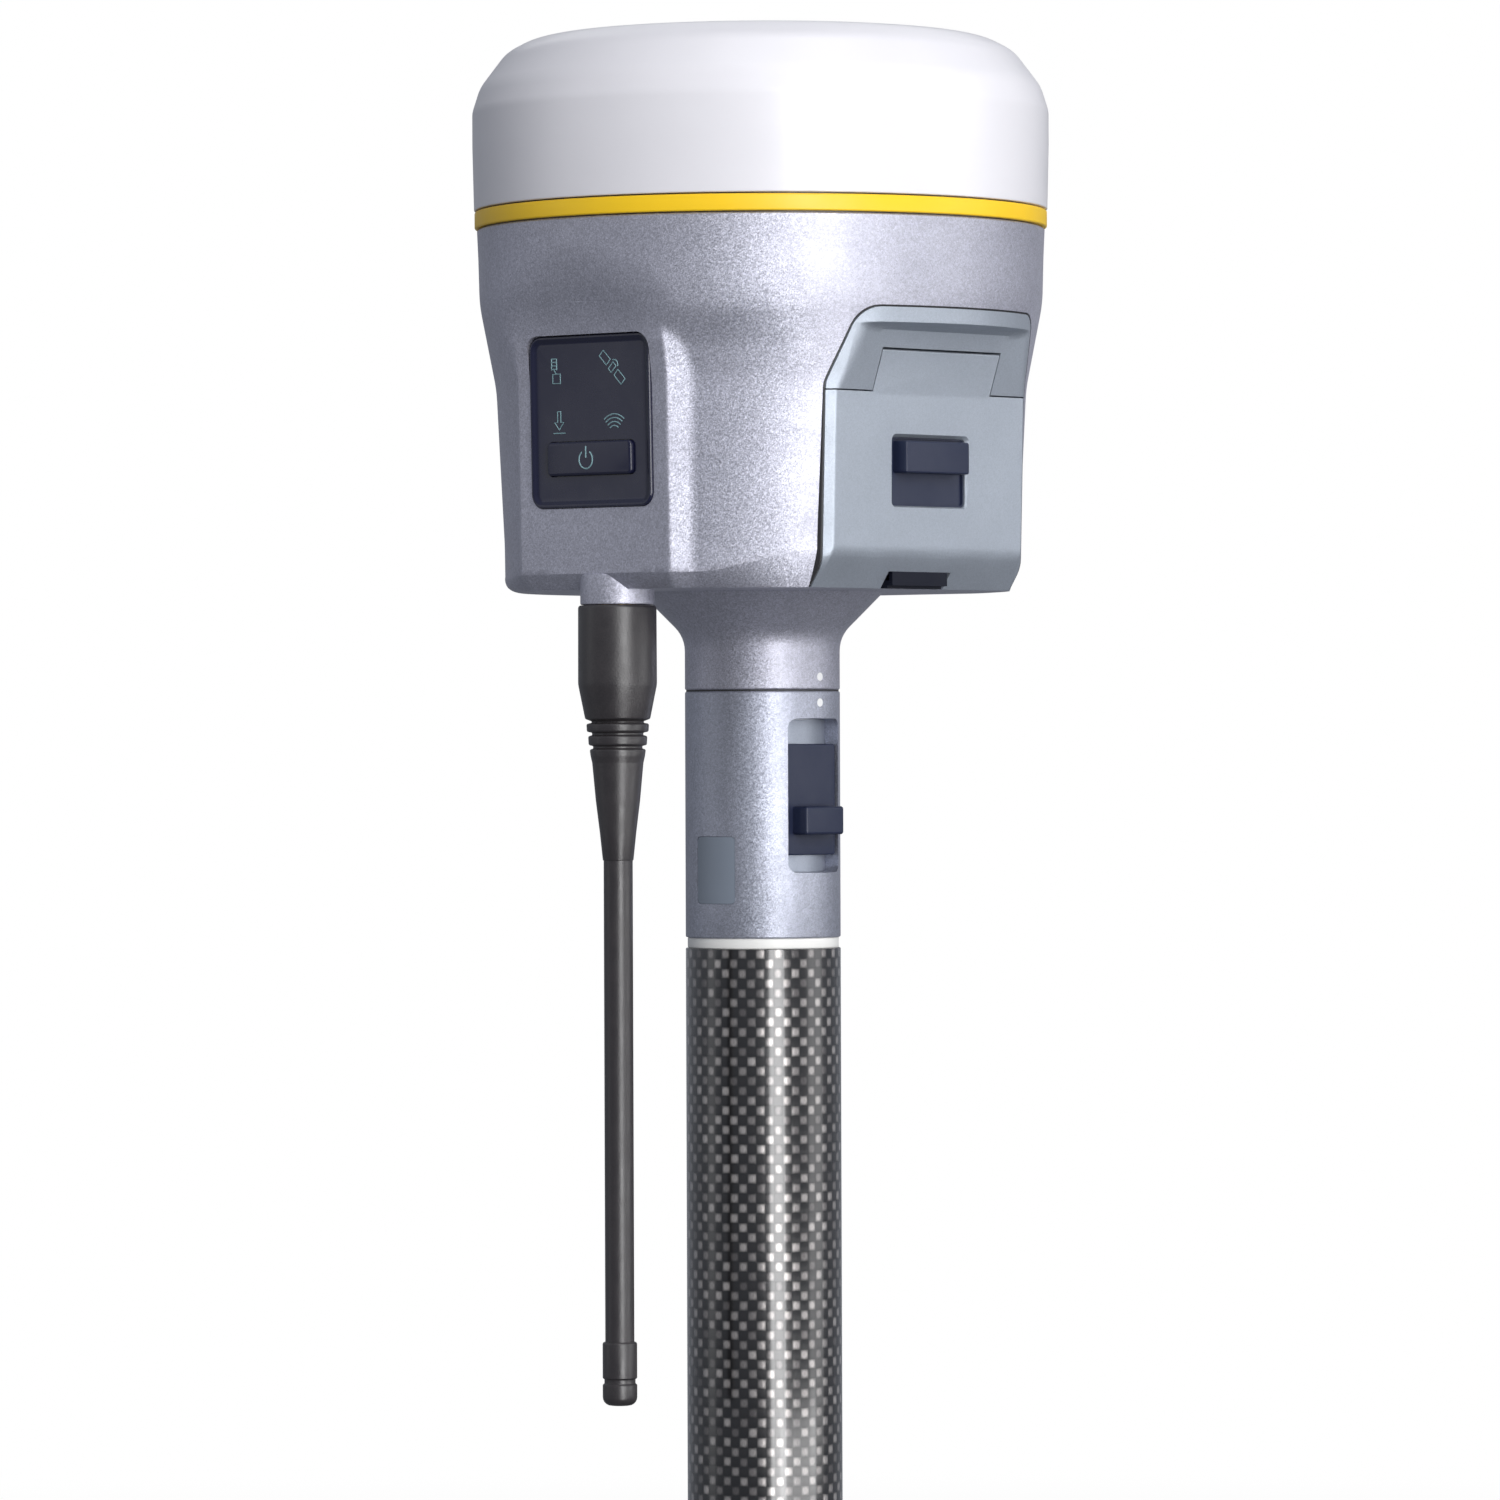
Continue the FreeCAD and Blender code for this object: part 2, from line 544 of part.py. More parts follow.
def knuckle_space(name, radius, half):
    """The round space about the hinge line."""
    return rod_along_y(name, radius, f"-({half})", half, "hinge_x", above("hinge_z"))


def hinge_cover():
    inside_seam = cover_outline("cover_prism", "0", "cover_low")
    body = common("cover_body", inside_seam, rod("cover_reach", "flare_radius", above("cover_low"),
                                                 above("cover_top + 1")))
    flare = taper("cover_flare", "waist_radius", "rim_radius - 0.75", above("waist_top"), above("cover_top"))
    barrel = rod("cover_barrel", "waist_radius + 1.2", above("cover_low"), above("waist_top"))
    lean = "(cover_lean - door_face) / (cover_step - cover_low)"
    ramp = prism("cover_ramp", "XZ_Plane", [
        (f"door_face - 2 * ({lean})", above("cover_low - 2")), ("75", above("cover_low - 2")),
        ("75", above("cover_step + 0.4")), ("cover_lean + 6", above("cover_step + 0.4")),
        ("cover_lean", above("cover_step"))], "reach", symmetric=True)
    faced = cut("cover_faced", common("cover_skin", body, fuse("cover_hull", flare, barrel)), ramp)
    notch = block("tab_notch", ("recess_x - 1", "70"), both("tab_half + 0.25"),
                  (above("cover_low - 1"), above("hinge_z")))
    notch_top = block("tab_notch_top", ("hinge_x", "70"), both("tab_half + 0.25"),
                      (above("hinge_z - 1"), above("hinge_z + knuckle + 0.3")))
    turn = knuckle_space("tab_turn", "knuckle + 0.3", "tab_half + 0.25")
    pin = knuckle_space("cover_pin_hole", "pin_radius + 0.02", "pin_half + 0.1")
    screw_holes = [rod_along_x(f"cover_thread_{side}", "screw_hole", "recess_x - 1", "recess_x + 3.2",
                               f"{side}cover_screw_y", above("cover_screw_z")) for side in ("", "-")]
    subpart("hinge_cover", cut("cover", faced, notch, notch_top, turn, pin, *screw_holes))


def hinge_pin():
    subpart("hinge_pin", knuckle_space("door_pin", "pin_radius", "pin_half"))


def cover_screws():
    solids = []
    for side in ("", "-"):
        head = rod_along_x(f"cover_head_{side}", "screw_head", "wall_x - screw_head_height", "wall_x - 0.02",
                           f"{side}cover_screw_y", above("cover_screw_z"))
        shank = rod_along_x(f"cover_shank_{side}", "screw_radius", "wall_x - 0.02", "recess_x + 3",
                            f"{side}cover_screw_y", above("cover_screw_z"))
        solids.append(fuse(f"cover_screw_{side}", head, shank))
    subpart("cover_screws", group("cover_screw_set", solids))


def battery_door():
    bevel_x = "door_face - door_bevel"
    plan = prism("door_plan", "XY_Plane", [
        ("door_back", "-door_half"), (bevel_x, "-door_half"), ("door_face", "-door_half + door_bevel"),
        ("door_face", "door_half - door_bevel"), (bevel_x, "door_half"), ("door_back", "door_half")],
        "door_top - floor_low", above("floor_low"))
    side = prism("door_side", "XZ_Plane", [
        ("door_back", above("floor_low")), ("door_face - door_chamfer_depth", above("floor_low")),
        ("door_face", above("floor_low + door_chamfer")), ("door_face", above("door_top")),
        ("door_back", above("door_top"))], "door_half * 2", symmetric=True)
    tab = prism("door_tab", "XZ_Plane", [
        ("tab_back", above("door_top - 1")), ("door_face", above("door_top - 1")),
        ("door_face", above("door_top")), ("hinge_x + knuckle * 0.947", above("hinge_z - knuckle * 0.32")),
        ("hinge_x", above("hinge_z")), ("hinge_x - knuckle", above("hinge_z"))],
        "tab_half * 2", symmetric=True)
    knuckle = knuckle_space("door_knuckle", "knuckle", "tab_half")
    solid = fuse("door_solid", common("door_plate", plan, side), tab, knuckle)
    room = block("door_room", ("door_back - 1", "door_skin"), both("door_half - door_rim"),
                 (above("notch_high - 0.4"), above("door_top - door_rim")))
    window = block("door_window", ("door_back", "door_face + 1"), both("window_half"),
                   (above("window_low"), above("window_high")))
    notch = block("door_notch", ("door_back - 1", "door_face"), both("notch_half"),
                  (above("floor_low - 1"), above("notch_high")))
    pin = knuckle_space("door_pin_hole", "pin_radius + run_gap", "tab_half + 1")
    subpart("battery_door", cut("door", solid, room, window, notch, pin))


def door_gasket():
    outer = block("door_seal_outer", ("recess_x + run_gap", "door_skin"), both("mouth_half + 1.6"),
                  (above("mouth_low - 1.5"), above("mouth_high + 0.7")))
    inner = block("door_seal_inner", ("recess_x", "door_skin + 1"), both("mouth_half"),
                  (above("mouth_low"), above("mouth_high")))
    subpart("door_gasket", cut("door_seal", outer, inner))


def latch_tray():
    plate = block("tray_plate", ("door_skin", "door_face - 1.7"), both("window_half - run_gap"),
                  (above("window_low + run_gap"), above("window_high - run_gap")))
    slot = block("tray_slot", ("door_skin - 1", "door_face"), both("3.1"),
                 (above("window_low + 1.1"), above("window_high - 1.6")))
    subpart("latch_tray", cut("tray", plate, slot))


def latch_slider():
    bar = block("slider_bar", ("door_face - 1.65", "bar_front"), both("window_half - 0.6"),
                (above("bar_low"), above("bar_high")))
    stem = block("slider_stem", ("recess_x - 0.3", "door_face - 1.6"), both("2.9"),
                 (above("bar_low + 1.1"), above("bar_high - 1.3")))
    subpart("latch_slider", fuse("slider", bar, stem))


def latch_bolt():
    subpart("latch_bolt", block("bolt", ("wall_x + 1", "recess_x - 0.3"), both("bolt_half"),
                                (above("bolt_tip"), above("bolt_top"))))


def latch_keeper():
    base = block("keeper_base", ("39.4", "recess_x + 0.8"), both("keeper_half"),
                 (above("floor_low + 0.6"), above("floor_low + 1.6")))
    lip = block("keeper_lip", ("recess_x - 0.1", "recess_x + 0.8"), both("keeper_half"),
                (above("floor_low + 0.6"), above("floor_low + 7.2")))
    subpart("latch_keeper", fuse("keeper", base, lip))


def battery_bay():
    outer = block("bay_outer", ("bay_back", "wall_x - 0.05"), both("mouth_half + 1.2"),
                  (above("mouth_low - 1.2"), above("mouth_high + 1.2")))
    inner = block("bay_inner", ("bay_back + 1.2", "wall_x + 1"), both("mouth_half"),
                  (above("mouth_low"), above("mouth_high")))
    subpart("battery_bay", cut("bay", outer, inner))


def battery_pack():
    subpart("battery_pack", block("pack", ("bay_back + 2.4", "wall_x - 0.6"), both("pack_half"),
                                  (above("pack_low"), above("pack_high"))))


def battery_contacts():
    solids = [block(f"contact_{index}", ("bay_back + 1.25", "bay_back + 2.35"),
                    (f"{6 * index - 11} - 1.5", f"{6 * index - 11} + 1.5"), (above("38"), above("50")))
              for index in range(4)]
    subpart("battery_contacts", group("contacts", solids))


# ---- keypad

def keypad_bezel():
    plate = rounded_plate("bezel_outer", "bezel_half", "bezel_low", "bezel_high", "bezel_corner",
                          "-bezel_proud", "bezel_seat")
    dish = rounded_plate("bezel_dish_cut", "bezel_half - bezel_rim", "bezel_low + bezel_rim",
                         "bezel_high - bezel_rim", "bezel_corner - bezel_rim + 0.2", "-4",
                         "bezel_dish - bezel_proud")
    opening = block("bezel_opening", both("button_half + button_gap"), ("-4", "4"),
                    ("button_low - button_gap", "button_high + button_gap"))
    seats = [rod_along_y(f"lens_seat_{index}", "lens_radius + 0.02", "-4",
                         "bezel_dish - bezel_proud + lens_depth", x, z)
             for index, (x, z) in enumerate(status_spots())]
    subpart("keypad_bezel", on_panel(cut("bezel", plate, dish, opening, *seats)))


def status_spots():
    """The middles of the four status windows, on the panel."""
    return [("-10", "10.4"), ("6", "10.8"), ("-9", "0.2"), ("6", "0.4")]


def status_windows():
    solids = [rod_along_y(f"lens_{index}", "lens_radius", "bezel_dish - bezel_proud",
                          "bezel_dish - bezel_proud + lens_depth", x, z)
              for index, (x, z) in enumerate(status_spots())]
    subpart("status_windows", on_panel(group("lenses", solids)))


def keypad_gasket():
    outer = block("pad_seal_outer", both("bezel_half - 2.6"), ("bezel_seat", "bezel_seat + 0.4"),
                  ("bezel_low + 2.6", "bezel_high - 2.6"))
    inner = block("pad_seal_inner", both("button_half + 0.6"), ("0", "4"),
                  ("button_low - 0.6", "bezel_high - 4.6"))
    subpart("keypad_gasket", on_panel(cut("pad_seal", outer, inner)))


def power_button():
    cap = rounded_plate("button_cap", "button_half", "button_low", "button_high", "0.8",
                        "-button_face", "button_back")
    stem = rod_along_y("button_stem", "stem_radius", "button_back - 0.2", "stem_end", "0",
                       "(button_low + button_high) / 2")
    subpart("power_button", on_panel(fuse("button", cap, stem)))


def keypad_board():
    sheet_board = block("pad_board", both("14"), ("board_front", "board_front + 1.2"),
                        ("bezel_low + 0.5", "bezel_high - 2"))
    switch = block("pad_switch", both("2.6"), ("stem_end + switch_gap", "board_front"),
                   ("button_low + 0.9", "button_high - 0.9"))
    subpart("keypad_board", on_panel(fuse("pad", sheet_board, switch)))


# ---- back face

def port(label, side):
    x = f"{side}port_x"
    flange = rod_along_y(label + "_flange", "port_flange", "back_y + 0.02", "back_y + 1", x, above("port_z"))
    barrel = rod_along_y(label + "_barrel", "port_body", "back_y - 12", "back_y + 1", x, above("port_z"))
    bore = rod_along_y(label + "_bore", "port_bore", "back_y - 8", "back_y + 2", x, above("port_z"))
    key = rod_along_y(label + "_key", "1.2", "back_y - 8.5", "back_y - 3", x, above("port_z"))
    shell = cut(label + "_shell", fuse(label + "_solid", flange, barrel), bore)
    subpart(label, fuse(label + "_set", shell, key))


def port_cover():
    skin = block("flap_skin_plate", both("flap_half"), ("flap_skin", "flap_face"),
                 (above("flap_low"), above("flap_high")))
    rim = block("flap_rim", both("flap_half"), ("back_y + 0.1", "flap_face"),
                (above("flap_low"), above("flap_high")))
    room = block("flap_room", both("flap_half - 1.4"), ("back_y", "flap_skin"),
                 (above("flap_low + 1.4"), above("flap_high - 1.4")))
    knuckle = rod_along_x("flap_knuckle", "1.6", "-flap_half", "flap_half", "back_y", above("flap_hinge_z"))
    neck = block("flap_neck", both("flap_half"), ("back_y + 0.1", "flap_face"),
                 (above("flap_high - 0.5"), above("flap_hinge_z")))
    pin = rod_along_x("flap_bore", "pin_radius + run_gap", "-flap_half - 1", "flap_half + 1", "back_y",
                      above("flap_hinge_z"))
    ribbed = fuse("flap_solid", cut("flap_dish", rim, room), skin, knuckle, neck)
    subpart("port_cover", cut("flap", ribbed, pin))


def port_hinge_pin():
    subpart("port_hinge_pin", rod_along_x("flap_pin", "pin_radius", "-flap_half - 1.3", "flap_half + 1.3",
                                          "back_y", above("flap_hinge_z")))


# ---- antenna

def antenna_port():
    barrel = rod("aerial_barrel", "port_barrel", above("stub_low + 0.2"), above("floor_low + wall + 1.5"),
                 y="-whip_y")
    top = rod("aerial_top", "stud_bore + 0.4", above("floor_low + wall"), above("stud_top + 3"), y="-whip_y")
    bore = rod("aerial_bore", "stud_bore", above("stub_low"), above("stud_top + 1"), y="-whip_y")
    subpart("antenna_port", cut("aerial", fuse("aerial_solid", barrel, top), bore))


def whip_stud():
    subpart("whip_stud", rod("stud", "stud_radius", above("stub_low - 4"), above("stud_top"), y="-whip_y"))


def whip_oring():
    ring = doc.addObject("Part::Torus", "oring")
    ring.setExpression("Radius1", bound("oring_radius"))
    ring.setExpression("Radius2", bound("oring_section"))
    subpart("whip_oring", place(ring, "0", "-whip_y", above("stub_low - oring_section - 0.1")))


def whip_sleeve():
    low = "sleeve_radius"
    rows = [("0", "stub_low - 0.1"), (low, "stub_low - 0.1"), (low, "1"), ("sleeve_foot", "-6.2"),
            ("rib_root", "-6.6"), ("rib_first", "-6.8"), ("rib_first", "-8.5"), ("rib_root", "-8.9"),
            ("rib_root", "-9.3"), ("rib_second", "-9.6"), ("rib_second", "-11.3"),
            ("rib_root - 0.2", "-11.6"), ("rib_root - 0.2", "-12"), ("rib_third", "-12.2"),
            ("rib_third", "-13.6"), ("rib_root", "-14.8"),
            ("4.5", "-22.5"), ("taper_radius + 0.2", "-27.5"), ("whip_radius + 0.1", "-taper_low"),
            ("0", "-taper_low")]
    body = turned("whip_grip", [(radius, above(height)) for radius, height in rows])
    body.setExpression("Placement.Base.y", bound("-whip_y"))
    stud = rod("grip_stud", "stud_radius + 0.02", above("stub_low - 4"), above("stub_low"), y="-whip_y")
    groove = tube("grip_groove", "oring_radius + oring_section + 0.05", "oring_radius - oring_section - 0.05",
                  above("stub_low - 1.7"), above("stub_low"), y="-whip_y")
    core = rod("grip_core", "whip_radius - 0.9", above("-taper_low - 1"), above("-8"), y="-whip_y")
    subpart("whip_sleeve", cut("grip", body, stud, groove, core))


def whip_rod():
    core = rod("whip_core", "whip_radius - 0.92", above("-taper_low"), above("-8"), y="-whip_y")
    skin = rod("whip_skin", "whip_radius", above("-cap_high"), above("-taper_low - 0.02"), y="-whip_y")
    tip = rod("whip_tip", "whip_radius - 0.92", above("-cap_low + 4"), above("-cap_high"), y="-whip_y")
    subpart("whip_rod", fuse("whip", core, skin, tip))


def whip_cap():
    body = rod("cap_body", "cap_radius", above("-cap_low"), above("-cap_high - 0.02"), y="-whip_y")
    bore = rod("cap_bore", "whip_radius - 0.9", above("-cap_low + 3.9"), above("-cap_high"), y="-whip_y")
    groove = tube("cap_groove", "cap_radius + 1", "cap_radius - 0.4", above("-cap_high - 9"),
                  above("-cap_high - 7.6"), y="-whip_y")
    subpart("whip_cap", cut("cap", body, bore, groove))


# ---- inside the receiver

def chassis_plate():
    disc = rod("chassis_disc", "plate_disc", above("ledge_top + 0.02"), above("ledge_top + 2"))
    holes = [rod(f"chassis_hole_{index}", "screw_hole", above("ledge_top - 1"), above("ledge_top + 3"), x, y)
             for index, (x, y) in enumerate(four_on("ledge_circle", False))]
    subpart("chassis_plate", cut("chassis", disc, *holes))


def internal_screws():
    ledge = screws("ledge_screw", four_on("ledge_circle", False), above("ledge_top + 2.02"), "5")
    board = screws("board_screw", four_on("board_circle", True), above("main_low + board + 0.02"), "5")
    aerial = screws("aerial_screw", four_on("post_circle", True), above("antenna_low + board + 0.02"), "5")
    subpart("internal_screws", group("screw_set", ledge + board + aerial))


def board_standoffs():
    posts = [tube(f"board_post_{index}", "2.8", "screw_hole", above("ledge_top + 2.02"),
                  above("main_low - 0.02"), x, y)
             for index, (x, y) in enumerate(four_on("board_circle", True))]
    subpart("board_standoffs", group("board_posts", posts))


def antenna_standoffs():
    posts = [tube(f"aerial_post_{index}", "3", "screw_hole", above("ledge_top + 2.02"),
                  above("antenna_low - 0.02"), x, y)
             for index, (x, y) in enumerate(four_on("post_circle", True))]
    subpart("antenna_standoffs", group("aerial_posts", posts))


def drilled_disc(name, radius, low, circle):
    """A round circuit board with its four screw holes."""
    disc = rod(name + "_disc", radius, above(low), above(f"{low} + board"))
    holes = [rod(f"{name}_hole_{index}", "screw_hole", above(f"{low} - 1"), above(f"{low} + 3"), x, y)
             for index, (x, y) in enumerate(four_on(circle, True))]
    return cut(name, disc, *holes)


def boards():
    subpart("main_board", drilled_disc("main", "main_disc", "main_low", "board_circle"))
    subpart("antenna_board", drilled_disc("aerial_board", "antenna_disc", "antenna_low", "post_circle"))
    power = block("power", ("18.4", "bay_back - 0.3"), both("24"), (above("38"), above("62")))
    subpart("power_board", power)


def modules():
    top = "main_low + board + 0.02"
    position = block("module_position", both("12"), both("12"), (above(top), above("main_low + 5")))
    subpart("positioning_module", position)
    processor = block("module_processor", both("14"), ("14", "30"), (above(top), above("main_low + 4.5")))
    subpart("processor_module", processor)
    radio = block("module_radio", ("-38", "2"), both("22"), (above("radio_low"), above("ledge_top - 0.02")))
    subpart("radio_module", radio)
    shield = block("shield", ("-15", "15"), ("-11", "11"), (above("95.4"), above("antenna_low - 0.02")))
    subpart("amplifier_shield", shield)
    subpart("coax_bullet", rod("bullet", "2", above("91.02"), above("95.38")))
    coax = rod("coax", "1.1", above("stud_top + 3.02"), above("floor_low + 12.3"), y="-whip_y")
    subpart("antenna_coax", coax)


def antenna_element():
    lower = rod("patch_lower", "36", above("antenna_low + board + 0.02"), above("106.5"))
    upper = rod("patch_upper", "25", above("106.5"), above("111.5"))
    subpart("antenna_element", fuse("patch", lower, upper))


PIECES = [
    pole_tube, pole_foot_insert, pole_top_plug, end_band, adapter_core, adapter_sleeve, blank_plate,
    sleeve_screws, lock_plate, cam_rod, latch_pawl, lower_housing, neck_collar, seam_gaskets, accent_ring,
    radome, neck_socket, neck_screws, pressure_vent, hinge_cover, hinge_pin, cover_screws, battery_door,
    door_gasket, latch_tray, latch_slider, latch_bolt, latch_keeper, battery_bay, battery_pack,
    battery_contacts, keypad_bezel, status_windows, keypad_gasket, power_button, keypad_board,
    port_cover, port_hinge_pin, antenna_port, whip_stud, whip_oring, whip_sleeve, whip_rod, whip_cap,
    chassis_plate, internal_screws, board_standoffs, antenna_standoffs, boards, modules, antenna_element,
]

for piece in PIECES:
    piece()
port("data_port", "")
port("power_port", "-")
doc.recompute()

failed = [item.Name for item in doc.Objects if "Invalid" in item.State or "Error" in item.State]
if failed:
    raise RuntimeError(f"failed objects: {failed}")
for item in subparts:
    if item.Shape.isNull() or not item.Shape.isValid() or not item.Shape.Solids:
        raise RuntimeError(f"{item.Label} has no valid solid")

os.makedirs("parts", exist_ok=True)
for item in subparts:
    item.Shape.exportStep(f"parts/{item.Label}.step")
print(len(subparts), "pieces")
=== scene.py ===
import json
from math import atan2, cos, pi, radians, sin, tan

import bmesh
import bpy
import numpy as np
from mathutils import Matrix, Vector


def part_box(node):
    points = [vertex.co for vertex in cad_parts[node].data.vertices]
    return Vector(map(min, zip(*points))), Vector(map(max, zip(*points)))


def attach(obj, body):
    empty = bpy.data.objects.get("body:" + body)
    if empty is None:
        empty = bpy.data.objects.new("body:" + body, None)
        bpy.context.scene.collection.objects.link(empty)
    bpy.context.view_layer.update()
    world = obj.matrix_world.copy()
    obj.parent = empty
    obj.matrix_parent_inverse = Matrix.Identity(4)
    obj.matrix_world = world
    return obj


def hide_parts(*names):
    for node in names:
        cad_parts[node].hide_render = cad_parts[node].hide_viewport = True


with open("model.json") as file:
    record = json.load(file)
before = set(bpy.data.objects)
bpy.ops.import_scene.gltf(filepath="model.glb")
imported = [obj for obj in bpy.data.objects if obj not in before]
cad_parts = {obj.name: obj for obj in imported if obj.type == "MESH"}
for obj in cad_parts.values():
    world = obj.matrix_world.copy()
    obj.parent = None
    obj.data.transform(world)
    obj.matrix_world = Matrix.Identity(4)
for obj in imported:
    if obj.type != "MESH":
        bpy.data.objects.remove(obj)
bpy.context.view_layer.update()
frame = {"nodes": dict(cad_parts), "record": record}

# Millimetres inside this script. Heights are above the seam between the receiver and its adapter,
# and mesh_object() turns them into the frame's metres.

MM = 0.001
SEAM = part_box("neck_collar")[0].z / MM


def reach(node, axis, side):
    """A CAD node's limit along an axis in millimetres; side is 0 for low and 1 for high."""
    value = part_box(node)[side][axis] / MM
    return value - SEAM if axis == 2 else value


RING_LOW, RING_HIGH = reach("accent_ring", 2, 0), reach("accent_ring", 2, 1)
RIM_TOP = reach("lower_housing", 2, 1)
CROWN_TOP = reach("radome", 2, 1)
POLE_RADIUS = reach("pole_tube", 0, 1)
POLE_TOP = reach("pole_tube", 2, 1)
POLE_FOOT = reach("pole_tube", 2, 0)
SLEEVE_LOW = reach("adapter_sleeve", 2, 0)
DOOR_BACK = reach("battery_door", 0, 0)
DOOR_HALF = reach("battery_door", 1, 1)
DOOR_FACE, DOOR_TOP = 46.7, 59.6
HINGE_X, HINGE_Z = 47.2, 66.6
PANEL_Y, PANEL_MID, PANEL_TILT = -50.85, 54.0, radians(1.2)
WALL = 3.0
FLOOR, FLOOR_INSIDE = 20.2, 23.2
NECK_RADIUS, NECK_BORE = 16.0, 13.25
WHIP_Y = -43.5
STUB_LOW, STUB_RADIUS, STUB_BORE = 17.1, 7.5, 6.45

# ---- mesh helpers


def mesh_object(name, verts, faces, sharp=32.0):
    """An object from millimetre points whose heights are above the seam."""
    mesh = bpy.data.meshes.new(name)
    mesh.from_pydata([(x * MM, y * MM, (z + SEAM) * MM) for x, y, z in verts], [], faces)
    mesh.validate()
    piece = new_object(name, mesh)
    tidy_normals(piece, sharp)
    return piece


def new_object(name, data):
    """An object of the scene that shows the data."""
    piece = bpy.data.objects.new(name, data)
    bpy.context.scene.collection.objects.link(piece)
    return piece


def tidy_normals(piece, sharp=32.0):
    """Outward faces, smooth except across sharp edges."""
    work = bmesh.new()
    work.from_mesh(piece.data)
    bmesh.ops.recalc_face_normals(work, faces=work.faces)
    work.to_mesh(piece.data)
    work.free()
    piece.data.shade_smooth()
    piece.data.set_sharp_from_angle(angle=radians(sharp))


def rounded_path(corners, closed=True, steps=6):
    """Corners (a, b, radius) as a list of points with each corner rounded."""
    path = []
    count = len(corners)
    for index, (a, b, radius) in enumerate(corners):
        point = Vector((a, b))
        if radius <= 0 or (not closed and index in (0, count - 1)):
            path.append((a, b))
            continue
        to_before = Vector(corners[index - 1][:2]) - point
        to_after = Vector(corners[(index + 1) % count][:2]) - point
        half = to_before.angle(to_after) / 2
        run = min(radius / tan(half), 0.49 * to_before.length, 0.49 * to_after.length)
        radius = run * tan(half)
        inward = (to_before.normalized() + to_after.normalized()).normalized()
        middle = point + inward * (radius / sin(half))
        start = point + to_before.normalized() * run - middle
        end = point + to_after.normalized() * run - middle
        first = atan2(start.y, start.x)
        sweep = (atan2(end.y, end.x) - first + pi) % (2 * pi) - pi
        for step in range(steps + 1):
            angle = first + sweep * step / steps
            path.append((middle.x + radius * cos(angle), middle.y + radius * sin(angle)))
    return path


ON_AXIS = 1e-6


def lathe(name, loop, at=(0.0, 0.0), segments=192):
    """A closed solid turned about an upright axis from a closed (radius, height) loop."""
    verts, rings = [], []
    for radius, height in loop:
        if radius < ON_AXIS:
            rings.append([len(verts)] * segments)
            verts.append((at[0], at[1], height))
            continue
        rings.append(list(range(len(verts), len(verts) + segments)))
        for step in range(segments):
            angle = 2 * pi * step / segments
            verts.append((at[0] + radius * cos(angle), at[1] + radius * sin(angle), height))
    faces = []
    for this, after in zip(rings, rings[1:] + rings[:1]):
        for step in range(segments):
            following = (step + 1) % segments
            face = list(dict.fromkeys([this[step], this[following], after[following], after[step]]))
            if len(face) > 2:
                faces.append(face)
    return mesh_object(name, verts, faces)


def round_rectangle(half_a, half_b, corner):
    """A rectangle with round corners about the origin, anticlockwise."""
    return rounded_path([(half_a, -half_b, corner), (half_a, half_b, corner), (-half_a, half_b, corner),
                         (-half_a, -half_b, corner)], steps=8)


def stack(name, layers, place):
    """A closed solid through equal loops; each layer is (points, depth) and place maps (a, b, depth)."""
    verts = [place(a, b, depth) for points, depth in layers for a, b in points]
    count = len(layers[0][0])
    faces = []
    for level in range(len(layers) - 1):
        start = level * count
        for step in range(count):
            after = (step + 1) % count
            faces.append((start + step, start + after, start + count + after, start + count + step))
    faces.append(tuple(range(count))[::-1])
    faces.append(tuple(range(len(verts) - count, len(verts))))
    return mesh_object(name, verts, faces)


def pillow(half_a, half_b, corner, back, front, edge, steps=5):
    """Layers of a rounded rectangle whose front edge is rolled over with radius edge."""
    layers = [(round_rectangle(half_a, half_b, corner), back)]
    for step in range(steps + 1):
        angle = pi / 2 * step / steps
        inset = edge * (1 - cos(angle))
        layers.append((round_rectangle(half_a - inset, half_b - inset, max(corner - inset, 0.05)),
                       front - edge + edge * sin(angle)))
    return layers


def circle(radius, a, b, steps=48):
    """Points round a circle about (a, b)."""
    return [(a + radius * cos(turn), b + radius * sin(turn))
            for turn in np.linspace(0, 2 * pi, steps, endpoint=False)]


def shifted(points, a, b):
    """An outline moved by (a, b)."""
    return [(x + a, y + b) for x, y in points]


def prism(name, points, low, high, place):
    """A straight prism through an outline."""
    return stack(name, [(points, low), (points, high)], place)


def bar(name, half_a, half_b, corner, at, low, high, place):
    """A prism through a rounded rectangle about the point at."""
    return prism(name, shifted(round_rectangle(half_a, half_b, corner), *at), low, high, place)


def cushion(name, sizes, at, place):
    """A bar about the point at whose front edge is rolled over; sizes are those of pillow."""
    return stack(name, [(shifted(points, *at), depth) for points, depth in pillow(*sizes)], place)


def upright(x, y, depth):
    """Places an outline of (x, y) and runs up."""
    return (x, y, depth)


def facing_x(y, z, depth):
    """Places an outline of (y, z) and runs along X."""
    return (depth, y, z)


def facing_y(x, z, depth):
    """Places an outline of (x, z) and runs along Y."""
    return (x, depth, z)


def on_panel(x, z, depth):
    """A point on the leaning keypad face: z along the face from its middle, depth outwards."""
    sine, cosine = sin(PANEL_TILT), cos(PANEL_TILT)
    return (x, PANEL_Y - depth * cosine - z * sine, PANEL_MID + z * cosine - depth * sine)


def carve(piece, tool, operation="DIFFERENCE"):
    """Apply a boolean and remove the tool."""
    change = piece.modifiers.new("carve", "BOOLEAN")
    change.operation = operation
    change.solver = "MANIFOLD"
    change.object = tool
    graph = bpy.context.evaluated_depsgraph_get()
    result = bpy.data.meshes.new_from_object(piece.evaluated_get(graph))
    piece.modifiers.clear()
    old = piece.data
    piece.data = result
    bpy.data.meshes.remove(old)
    bpy.data.objects.remove(tool)
    tidy_normals(piece)
    return piece


